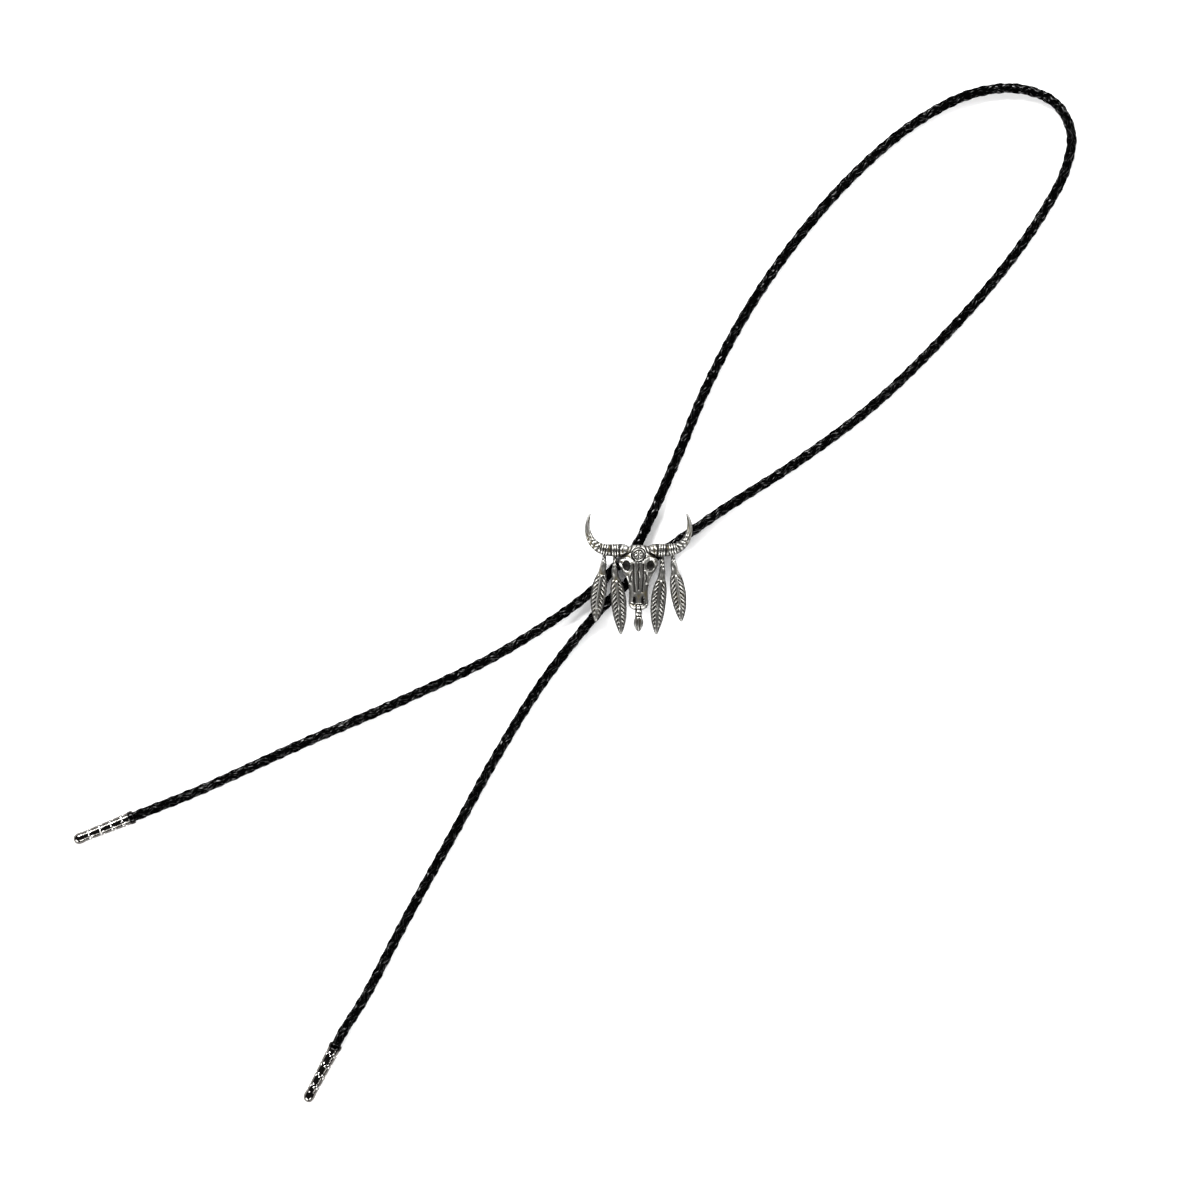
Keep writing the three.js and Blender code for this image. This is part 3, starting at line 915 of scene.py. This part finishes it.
# %% Make the rivet
head_top = CLIP_HEIGHT - CLIP_WALL - FIT_GAP
head_bottom = head_top - RIVET_HEAD_HEIGHT
rivet_rings = [
    (head_bottom, RIVET_HEAD_RADIUS - 0.35),
    (head_bottom + 0.1, RIVET_HEAD_RADIUS - 0.1),
    (head_bottom + 0.3, RIVET_HEAD_RADIUS),
    (head_top - RIVET_EDGE, RIVET_HEAD_RADIUS),
    (head_top, RIVET_HEAD_RADIUS - RIVET_EDGE),
    (head_top, RIVET_RADIUS),
    (CLIP_HEIGHT + 1.2, RIVET_RADIUS),
]
rivet = turned("slide_rivet", rivet_rings, 28)
face_outwards(rivet)
bpy.ops.object.shade_smooth_by_angle(angle=SMOOTH_ANGLE)
shrink_to_place(rivet, (0, 0, 0), Quaternion())
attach(rivet, "root")
print(f"The rivet's head is {2 * RIVET_HEAD_RADIUS:.1f} mm across, inside the clip")

# %% [markdown]
# ## Plain steel
# Nobody sees the clip when the tie is worn, so it is left as rolled: grey steel with fine lines
# along the way it was drawn. Noise that is stretched along Y makes those lines.

# %% Finish the steel
def rolled_steel():
    """Grey steel with fine drawn lines along Y."""
    material, tree, shader = new_material("rolled_steel")
    place = object_place(tree)
    grain = {"Place": mapped(tree, place, (1000.0, 40.0, 1000.0)), "Size": 0.25, "Depth": 0.012}
    normal, height = add_node(tree, "Group", grain, node_tree=fine_grain).outputs
    finish = {
        "Base Color": mix_colours(tree, height, (0.42, 0.42, 0.43, 1), (0.6, 0.6, 0.61, 1)),
        "Roughness": graded(tree, height, 0.3, 0.7, 0.32, 0.46),
        "Normal": normal,
        "Metallic": 1.0,
    }
    fill_inputs(tree, shader, finish)
    return material


clip.data.materials.append(rolled_steel())
print("Steel on the clip")

# %% [markdown]
# ## The ornament's ribs
# The ornament is one pewter casting: a steer's skull with long horns, four feathers that hang
# from the horns, and a drop under the nose. It has a flat back and a crowned front, and the gaps
# between its ribs go right through. Each rib is a short table of rows down its middle line. The
# places and sizes are shares of half the ornament, and the crown is a share of its relief, so
# that the whole figure keeps its proportions.

# %% List the ribs
HALF_WIDTH = 20.5
HALF_HEIGHT = 22.75
RELIEF = 5.0
BACK_HEIGHT = CLIP_HEIGHT + FIT_GAP
ORNAMENT_PLACE = Vector((4.0, -0.8, BACK_HEIGHT))
ORNAMENT_TURN = math.radians(45)
# Columns: x, y, half width, crown
SKULL = [
    (0, 0.47, 0.12, 0.5), (0, 0.4, 0.25, 0.78), (0, 0.29, 0.3, 0.92), (0, 0.17, 0.36, 1),
    (0, 0.06, 0.33, 0.95), (0, -0.05, 0.22, 0.86), (0, -0.2, 0.175, 0.76), (0, -0.36, 0.165, 0.68),
    (0, -0.48, 0.19, 0.62), (0, -0.56, 0.16, 0.5), (0, -0.6, 0.08, 0.34),
]
HORN = [
    (0.16, 0.36, 0.115, 0.8), (0.34, 0.38, 0.12, 0.82), (0.53, 0.37, 0.112, 0.76),
    (0.71, 0.4, 0.098, 0.68), (0.85, 0.51, 0.08, 0.58), (0.925, 0.67, 0.06, 0.46),
    (0.92, 0.85, 0.04, 0.34), (0.86, 0.99, 0.015, 0.24),
]
OUTER_FEATHER = [
    (0.61, 0.37, 0.035, 0.6), (0.62, 0.2, 0.035, 0.42), (0.635, 0.12, 0.07, 0.54),
    (0.65, 0.04, 0.05, 0.4), (0.67, -0.06, 0.11, 0.44), (0.7, -0.22, 0.14, 0.42),
    (0.73, -0.4, 0.14, 0.4), (0.75, -0.56, 0.115, 0.36), (0.765, -0.7, 0.065, 0.3),
    (0.77, -0.79, 0.015, 0.22),
]
INNER_FEATHER = [
    (0.42, 0.37, 0.035, 0.6), (0.43, 0.1, 0.035, 0.42), (0.425, 0.02, 0.07, 0.54),
    (0.415, -0.06, 0.05, 0.4), (0.4, -0.15, 0.11, 0.44), (0.37, -0.34, 0.14, 0.42),
    (0.345, -0.56, 0.14, 0.4), (0.33, -0.76, 0.11, 0.36), (0.32, -0.9, 0.06, 0.3),
    (0.32, -1, 0.015, 0.22),
]
DROP = [
    (0, -0.57, 0.05, 0.36), (0, -0.64, 0.075, 0.5), (0, -0.7, 0.045, 0.34),
    (0, -0.77, 0.095, 0.4), (0, -0.86, 0.08, 0.36), (0, -0.95, 0.02, 0.24),
]
print("Five ribs, three of them on both sides")

# %% Model a rib from its rows
RIB_SIDES = 12
SIDE_SHARE = 0.45  # height of a rib's upright side, as a share of its crown
BELOW_BACK = 1.5  # ribs reach through the back, where one cut will leave it flat


def in_millimetres(rows):
    """Rows as middle point, half width and crown."""
    return [
        (Vector((x * HALF_WIDTH, y * HALF_HEIGHT, 0)), half * HALF_WIDTH, crown * RELIEF)
        for x, y, half, crown in rows
    ]


def headings(middles):
    """The direction of the middle line at each row, as an angle from the X axis."""
    behind, ahead = [middles[0], *middles[:-1]], [*middles[1:], middles[-1]]
    return [math.atan2(b.y - a.y, b.x - a.x) for a, b in zip(behind, ahead)]


def cast_rib(name, rows, both_sides=False):
    """A rib with upright sides and a crowned top, extruded from row to row and smoothed."""
    rows = in_millimetres(rows)
    turns = headings([middle for middle, _, _ in rows])
    middle, half, crown = rows[0]
    side = SIDE_SHARE * crown
    bpy.ops.mesh.primitive_circle_add(
        vertices=RIB_SIDES,
        radius=half,
        fill_type="NGON",
        location=middle,
        rotation=(math.pi / 2, 0, turns[0] - math.pi / 2),
    )
    bpy.ops.object.transform_apply(location=True, rotation=True)
    edit_everything()
    bpy.ops.transform.resize(value=(1, 1, (crown - side) / half), center_override=middle)
    select_where("VERT", lambda vertex: vertex.co.z < -0.01)
    widen = 1 / math.cos(2 * math.pi / RIB_SIDES)
    bpy.ops.transform.resize(value=(widen, widen, 0), center_override=middle)
    bpy.ops.transform.translate(value=(0, 0, -side - BELOW_BACK))
    bpy.ops.mesh.select_all(action="SELECT")
    bpy.ops.transform.translate(value=(0, 0, side))
    for number in range(1, len(rows)):
        before, old_half, old_crown = rows[number - 1]
        middle, half, crown = rows[number]
        bpy.ops.mesh.extrude_region_move(TRANSFORM_OT_translate={"value": middle - before})
        bpy.ops.transform.rotate(
            value=turns[number - 1] - turns[number], orient_axis="Z", center_override=middle
        )
        share = half / old_half
        bpy.ops.transform.resize(value=(share, share, crown / old_crown), center_override=middle)
    rib = shaped(name)
    face_outwards(rib)
    apply_modifier(rib, "SUBSURF", levels=2, render_levels=2)
    if both_sides:
        apply_modifier(rib, "MIRROR", use_axis=(True, False, False), use_mirror_merge=False)
    return rib


pairs = {"horn": HORN, "outer_feather": OUTER_FEATHER, "inner_feather": INNER_FEATHER}
ribs = [cast_rib("skull", SKULL), cast_rib("drop", DROP)]
ribs += [cast_rib(name, rows, both_sides=True) for name, rows in pairs.items()]
print(f"Ribs with {sum(len(rib.data.vertices) for rib in ribs)} vertices in all")

# %% [markdown]
# ## One casting
# Molten metal makes one skin over all the ribs. A voxel remesh does the same: it keeps the outer
# surface and fuses what overlaps. One cut then leaves the back flat, and the seat for the rivet
# and the round boss on the forehead are fused in the same step.

# %% Fuse the ribs
SEAT_RADIUS = 4.0
SEAT_THICKNESS = 1.4
BOSS_RADIUS = 2.3
BOSS_RISE = 0.7
BOSS_Y = 0.3 * HALF_HEIGHT
BOSS_LEVEL = 0.92 * RELIEF
VOXEL = 0.16


def from_tie(point):
    """A point of the tie, seen from the ornament's own middle and upright."""
    return (Vector(point) - ORNAMENT_PLACE) @ Matrix.Rotation(ORNAMENT_TURN, 3, "Z")


seat_middle = from_tie((0, 0, BACK_HEIGHT))
bpy.ops.mesh.primitive_cylinder_add(
    vertices=48,
    radius=SEAT_RADIUS,
    depth=SEAT_THICKNESS + BELOW_BACK,
    location=(seat_middle.x, seat_middle.y, (SEAT_THICKNESS - BELOW_BACK) / 2),
)
seat = shaped("seat")
bpy.ops.mesh.primitive_uv_sphere_add(
    segments=32,
    ring_count=16,
    radius=BOSS_RADIUS,
    location=(0, BOSS_Y, BOSS_LEVEL),
    scale=(1, 1, BOSS_RISE / BOSS_RADIUS),
)
boss = shaped("boss")
select_only(*ribs, seat, boss)
bpy.ops.object.join()
casting = shaped("slide_casting")
casting.data.remesh_voxel_size = VOXEL
bpy.ops.object.voxel_remesh()
edit_everything()
bpy.ops.mesh.vertices_smooth(factor=0.5, repeat=3)
bpy.ops.mesh.bisect(
    plane_co=(0, 0, 0), plane_no=(0, 0, 1), clear_inner=True, use_fill=True, threshold=0.001
)
casting = shaped("slide_casting")
print(f"The casting has {len(casting.data.vertices)} vertices")

# %% [markdown]
# ## Drawing on the casting
# A pattern maker cuts fine lines into the master with small chisels. Here every mark is a line
# with a width and a height: less than zero for a groove, more for a ridge. A vertex near the line
# moves along its normal by that height, fading to the sides. Marks that lie on both sides of the
# figure are drawn once and read with the side taken off the x place.

# %% Helpers for drawing lines
def distance_from(line, x, y):
    """How far each vertex is from a line of points, seen from the front."""
    nearest = np.full(len(x), 1e9)
    points = [(px * HALF_WIDTH, py * HALF_HEIGHT) for px, py in line]
    for (ax, ay), (bx, by) in zip(points, points[1:]):
        run_x, run_y = bx - ax, by - ay
        share = np.clip(((x - ax) * run_x + (y - ay) * run_y) / (run_x**2 + run_y**2), 0, 1)
        nearest = np.minimum(nearest, np.hypot(x - ax - share * run_x, y - ay - share * run_y))
    return nearest


def along_rib(rows, x, y):
    """Each vertex's way along and across a rib, the half width there, and the rows' own ways."""
    rows = in_millimetres(rows)
    middles = np.array([(middle.x, middle.y) for middle, _, _ in rows])
    travelled = travel(middles)
    way = np.linspace(0, travelled[-1], 160)
    line = np.column_stack([np.interp(way, travelled, axis) for axis in middles.T])
    direction = unit(np.gradient(line, axis=0))
    gap = (x[:, None] - line[:, 0]) ** 2 + (y[:, None] - line[:, 1]) ** 2
    nearest = np.argmin(gap, axis=1)
    off_x, off_y = x - line[nearest, 0], y - line[nearest, 1]
    across = direction[nearest, 0] * off_y - direction[nearest, 1] * off_x
    along = way[nearest] + direction[nearest, 0] * off_x + direction[nearest, 1] * off_y
    half = np.interp(along, travelled, [half for _, half, _ in rows])
    return along, across, half, travelled


def stroke(distance, half_width):
    """A line's depth at a distance from its middle: 1 on it, fading to the sides."""
    return np.exp(-((distance / half_width) ** 2))


def waves(way, pitch):
    """Rises from 0 to 1 and back once in every pitch."""
    return 0.5 - 0.5 * np.cos(2 * math.pi * way / pitch)


print("Ready to draw")

# %% Draw the skull
# Columns: points, half width, height
SKULL_MARKS = [
    ([(0.1, 0.2), (0.2, 0.245), (0.31, 0.215), (0.345, 0.13)], 0.6, 0.7),
    ([(0.3, 0.0), (0.2, -0.04), (0.155, -0.16)], 0.5, 0.45),
    ([(0.09, 0.14), (0.088, -0.1), (0.07, -0.3)], 0.36, -0.5),
    ([(0.12, 0.45), (0.165, 0.34), (0.28, 0.28)], 0.38, -0.5),
    ([(0.03, 0.45), (0.06, 0.41), (0.05, 0.38)], 0.2, -0.25),
    ([(0.0, -0.51), (0.09, -0.52), (0.17, -0.48)], 0.3, -0.5),
    ([(0.045, -0.53), (0.04, -0.59)], 0.24, -0.4),
    ([(0.12, 0.03), (0.15, -0.05), (0.135, -0.14)], 0.25, -0.3),
]
SUTURE = [(0, 0.18), (0.012, 0.1), (-0.01, 0.03), (0.009, -0.08), (0, -0.26)]
SUTURE_DEPTH = 0.45
SUTURE_HALF_WIDTH = 0.26
SKULL_SIDE = (7.4, 7.9)  # the marks fade out between these distances from the middle
SKULL_END = -0.62 * HALF_HEIGHT
PETALS = 6
PETAL_RISE = 0.25
BOSS_GROOVES = ((1.75, 0.22), (2.7, 0.26))  # radius and half width
BOSS_GROOVE_DEPTH = 0.45
BOSS_EDGE = (2.7, 2.9)
# Columns: x, y, half width, half height, depth
EYE = (0.225, 0.12, 0.085, 0.09, 2.5)
NOSTRIL = (0.075, -0.44, 0.03, 0.07, 1.5)
EYE_CROWN = SKULL[3][3] * RELIEF
NOSTRIL_CROWN = SKULL[8][3] * RELIEF


def press_hollow(places, hollow, crown):
    """Pushes the surface down to an egg-shaped hollow on both sides of the figure."""
    x_share, y_share, half_width, half_height, depth = hollow
    x = (np.abs(places[:, 0]) - x_share * HALF_WIDTH) / (half_width * HALF_WIDTH)
    y = (places[:, 1] - y_share * HALF_HEIGHT) / (half_height * HALF_HEIGHT)
    inside = 1 - x**2 - y**2
    floor = crown - depth * np.sqrt(np.maximum(inside, 0)) ** 0.7
    pressed = (inside > 0) & (places[:, 2] > 0.5)
    places[pressed, 2] = np.minimum(places[pressed, 2], floor[pressed])


def skull_heights(x, y):
    """How far the skull's marks raise or lower each vertex."""
    side = np.abs(x)
    height = np.zeros(len(x))
    for line, half_width, rise in SKULL_MARKS:
        height += rise * stroke(distance_from(line, side, y), half_width)
    return height - SUTURE_DEPTH * stroke(distance_from(SUTURE, x, y), SUTURE_HALF_WIDTH)


def boss_heights(x, y):
    """A flower of six petals on the boss, inside a round rim."""
    out = np.hypot(x, y - BOSS_Y)
    turn = np.arctan2(y - BOSS_Y, x)
    petals = np.cos(PETALS * turn) * fade(out, 0.4, 0.9) * (1 - fade(out, 1.3, 1.6))
    groove = sum(stroke(out - radius, half_width) for radius, half_width in BOSS_GROOVES)
    return PETAL_RISE * petals - BOSS_GROOVE_DEPTH * groove


print(f"{len(SKULL_MARKS)} marks on the skull")

# %% Draw the horns, feathers and drop
HORN_RING_PITCH = 1.6
HORN_RING_DEPTH = 0.3
HORN_GRAIN_PITCH = 0.9
HORN_GRAIN_DEPTH = 0.12
SMOOTH_HORN = 12.0  # way along the horn where its rings start to fade
WRAP_PLACES = (0.42, 0.61)  # where the feathers hang, as shares of half the width
WRAP_HALF_WIDTH = 1.35
WRAP_RISE = 0.5
BARB_PITCH = 1.6
BARB_SLANT = 0.9
BARB_DEPTH = 0.5
VANE_DROP = 0.45  # from the middle of a vane to its edge
QUILL_HALF_WIDTH = 0.4
QUILL_RISE = 0.45
SPLITS = ((9.2, 1), (12.6, -1), (15.8, 1), (18.2, -1))  # way along the feather, and which side
SPLIT_DEPTH = 0.8
SPLIT_HALF_WIDTH = 0.28
TWIST_PITCH = 1.5
TWIST_DEPTH = 0.3
DROP_RING_DEPTH = 0.4
FLUTE_PITCH = 1.1
FLUTE_DEPTH = 0.3


def horn_heights(x, y):
    """Growth rings that fade towards the horn's point, and thongs wound where feathers hang."""
    along, across, half, travelled = along_rib(HORN, np.abs(x), y)
    on_horn = 1 - fade(np.abs(across) / half, 0.95, 1.15)
    on_horn *= fade(along, 2.0, 3.0)
    rings = waves(along + 0.25 * np.abs(across), HORN_RING_PITCH)
    height = -HORN_RING_DEPTH * rings * (1 - fade(along, SMOOTH_HORN, 20.0))
    height -= HORN_GRAIN_DEPTH * waves(across, HORN_GRAIN_PITCH) * fade(along, SMOOTH_HORN, 18.0)
    for place in WRAP_PLACES:
        wrap_at = np.interp(place, [row[0] for row in HORN], travelled)
        near = 1 - fade(np.abs(along - wrap_at), WRAP_HALF_WIDTH * 0.85, WRAP_HALF_WIDTH)
        turns = WRAP_RISE * np.abs(np.cos(math.pi * (along - wrap_at) / (WRAP_HALF_WIDTH * 0.66)))
        height = height * (1 - near) + near * turns
    return height * on_horn


def feather_heights(rows, x, y, shift):
    """Barbs on the vane with a few splits, a raised quill, and a twisted thong above the bead."""
    along, across, half, travelled = along_rib(rows, np.abs(x), y)
    vane_start = travelled[4] - 0.6
    share = np.abs(across) / half
    on_rib = 1 - fade(share, 1.0, 1.25)
    on_vane = fade(along, vane_start - 0.4, vane_start + 0.4) * on_rib
    barb_way = along - BARB_SLANT * np.abs(across)
    barbs = waves(barb_way, BARB_PITCH)
    height = -BARB_DEPTH * barbs * fade(np.abs(across), QUILL_HALF_WIDTH, QUILL_HALF_WIDTH * 2)
    height -= VANE_DROP * fade(share, 0.5, 1.0)
    height += QUILL_RISE * stroke(across, QUILL_HALF_WIDTH) * (1 - fade(along, 20.0, 23.0))
    for way, side in SPLITS:
        split = stroke(barb_way - way - shift, SPLIT_HALF_WIDTH) * (np.sign(across * x) == side)
        height -= SPLIT_DEPTH * split * fade(share, 0.25, 0.8)
    thong = -TWIST_DEPTH * waves(along + 1.2 * across, TWIST_PITCH)
    above_bead = 1 - fade(along, travelled[1] - 0.2, travelled[1] + 0.6)
    return height * on_vane + thong * fade(along, 1.5, 2.2) * above_bead * on_rib


def drop_heights(x, y):
    """A ring round the drop, and flutes on its bead."""
    along, across, half, travelled = along_rib(DROP, x, y)
    on_drop = (1 - fade(np.abs(across) / half, 1.0, 1.2)) * fade(along, 0.6, 1.2)
    ring = stroke(along - travelled[2], 0.3)
    flutes = waves(across, FLUTE_PITCH) * fade(along, travelled[2] + 0.5, travelled[3])
    return -(DROP_RING_DEPTH * ring + FLUTE_DEPTH * flutes) * on_drop


places, normals = vertex_arrays(casting)
x, y = places[:, 0].copy(), places[:, 1].copy()
front = fade(normals[:, 2], 0.1, 0.45)
height = skull_heights(x, y) * (1 - fade(np.abs(x), *SKULL_SIDE)) * (y > SKULL_END)
on_boss = 1 - fade(np.hypot(x, y - BOSS_Y), *BOSS_EDGE)
height = height * (1 - on_boss) + boss_heights(x, y) * on_boss
height += horn_heights(x, y)
height += feather_heights(OUTER_FEATHER, x, y, shift=0.0)
height += feather_heights(INNER_FEATHER, x, y, shift=1.7)
height += drop_heights(x, y)
places += (height * front)[:, None] * normals
before = places[:, 2].copy()
press_hollow(places, EYE, EYE_CROWN)
press_hollow(places, NOSTRIL, NOSTRIL_CROWN)
casting.data.vertices.foreach_set("co", places.ravel())
casting.data.update()
pressed = fade(before - places[:, 2], 0.1, 0.8)
# Painted shade: steep side walls are marked to be made black, beside the real oxide in the pressed
# eye and nostril hollows.
store(casting, "side_shade_and_eye_oxide", np.maximum(pressed, 1 - fade(normals[:, 2], 0.15, 0.6)))
print(f"Marks from {height.min():.2f} to {height.max():.2f} mm")

# %% Set the casting in its place
select_only(casting)
bpy.ops.object.shade_smooth_by_angle(angle=math.radians(50))
depths = measure_hollows(casting, 24)
shrink_to_place(casting, ORNAMENT_PLACE, Quaternion((0, 0, 1), ORNAMENT_TURN))
hand_over(casting, "slide_ornament")
print(f"Hollows up to {depths.max():.2f} mm deep")

# %% [markdown]
# ## Antiqued pewter
# New pewter is dipped in acid until it turns black, and then rubbed with a cloth. The black stays
# in every line and hollow, and the ridges come up bright. So the finish needs three metals:
# oxide in the hollows, grey pewter on the slopes and rubbed metal on top, with a faint warm tint
# where the acid stained it. The steep side walls and a band just above the flat back are painted
# black as well, as painted shade.

# %% Finish the pewter
def aged_pewter():
    """Oxide, painted shade on walls and near the back, grey pewter and rubbed ridges."""
    material, tree, shader = new_material("antiqued_pewter")
    wear = {
        "Hollow": stored(tree, "hollow"),
        "Grime Depth": 0.08,
        "Rub Height": 0.07,
        "Patch Size": 2.5,
        "Unevenness": 0.5,
    }
    grime, rub = add_node(tree, "Group", wear, node_tree=wear_masks).outputs
    place = object_place(tree)
    level = add_node(tree, "SeparateXYZ", {0: place}).outputs["Z"]
    # Painted shade: a band up to 2 mm above the flat back is made black, as shade along the
    # casting's lower edges.
    low = graded(tree, level, BACK_HEIGHT * MM, (BACK_HEIGHT + 2.0) * MM, 1.0, 0.0)
    # Black is the real oxide in the hollows plus the painted shade on side walls and near the back.
    painted_shade_and_eye_oxide = calculated(tree, "MAXIMUM", low, stored(tree, "side_shade_and_eye_oxide"))
    black = calculated(tree, "MAXIMUM", grime, painted_shade_and_eye_oxide)
    tint = graded(tree, noise(tree, place, 160.0, 3.0), 0.45, 0.6)
    stained = mix_colours(tree, tint, (0.09, 0.088, 0.081, 1), (0.1, 0.083, 0.045, 1))
    rubbed = mix_colours(tree, rub, stained, (0.36, 0.355, 0.335, 1))
    grain = {"Place": mapped(tree, place, (1000.0, 1000.0, 1000.0)), "Size": 0.3, "Depth": 0.05}
    normal, _ = add_node(tree, "Group", grain, node_tree=fine_grain).outputs
    finish = {
        "Base Color": mix_colours(tree, black, rubbed, (0.012, 0.011, 0.01, 1)),
        "Roughness": graded(tree, rub, 0.0, 1.0, 0.5, 0.3),
        "Specular IOR Level": graded(tree, black, 0.0, 1.0, 0.5, 0.08),
        "Metallic": graded(tree, black, 0.0, 1.0, 1.0, 0.2),
        "Normal": normal,
    }
    fill_inputs(tree, shader, finish)
    return material


pewter = aged_pewter()
casting.data.materials.append(pewter)
rivet.data.materials.append(pewter)
print("Pewter on the casting and the rivet")

# %% [markdown]
# ## Table and light
# A pale table and soft light show a black cord without hard shadows. The brightest light stands on
# the side of the tie's left strand, as in the photograph, where the laces catch it in grey
# streaks, and a weaker one stands across from it. Two low panels beyond the tie's ends light the
# table evenly. Bright metal shows only what it reflects, so there is dark space between the
# panels.

# %% Lay the table
TABLE_SIZE = 8.0
TABLE_GAP = 0.05 * MM  # keeps the table's surface and the tie's lowest faces apart

bpy.ops.mesh.primitive_plane_add(size=TABLE_SIZE, location=(0, 0, -TABLE_GAP))
table = bpy.context.object
table.name = "table"
paper, tree, shader = new_material("pale_table")
finish = {"Base Color": (0.97, 0.97, 0.97, 1), "Roughness": 0.9, "Specular IOR Level": 0.1}
fill_inputs(tree, shader, finish)
table.data.materials.append(paper)
print("Table laid")

# %% Light the table
# Columns: name, then place, width and height in metres, then power in watts
PANELS = [
    ("key_panel", (-1.9, 0.77, 1.6), 1.5, 0.8, 130),
    ("right_strip", (1.9, -0.77, 1.5), 1.4, 0.5, 45),
    ("near_panel", (0.1, -2.6, 1.15), 2.2, 1.1, 110),
    ("far_panel", (-0.1, 2.6, 1.15), 2.2, 1.1, 110),
]


def light_panel(name, place, width, height, power):
    """A soft rectangular lamp that faces the tie."""
    bpy.ops.object.light_add(type="AREA", location=place)
    lamp = bpy.context.object
    lamp.name = name
    lamp.rotation_euler = (-Vector(place)).to_track_quat("-Z", "Y").to_euler()
    lamp.data.shape = "RECTANGLE"
    lamp.data.size = width
    lamp.data.size_y = height
    lamp.data.energy = power


for panel in PANELS:
    light_panel(*panel)
world = bpy.data.worlds.new("room")
world.use_nodes = True
sky = {"Color": (1, 1, 1, 1), "Strength": 0.04}
fill_inputs(world.node_tree, world.node_tree.nodes["Background"], sky)
bpy.context.scene.world = world
bpy.context.scene.view_settings.view_transform = "Standard"
print("Four panels and a dim room")
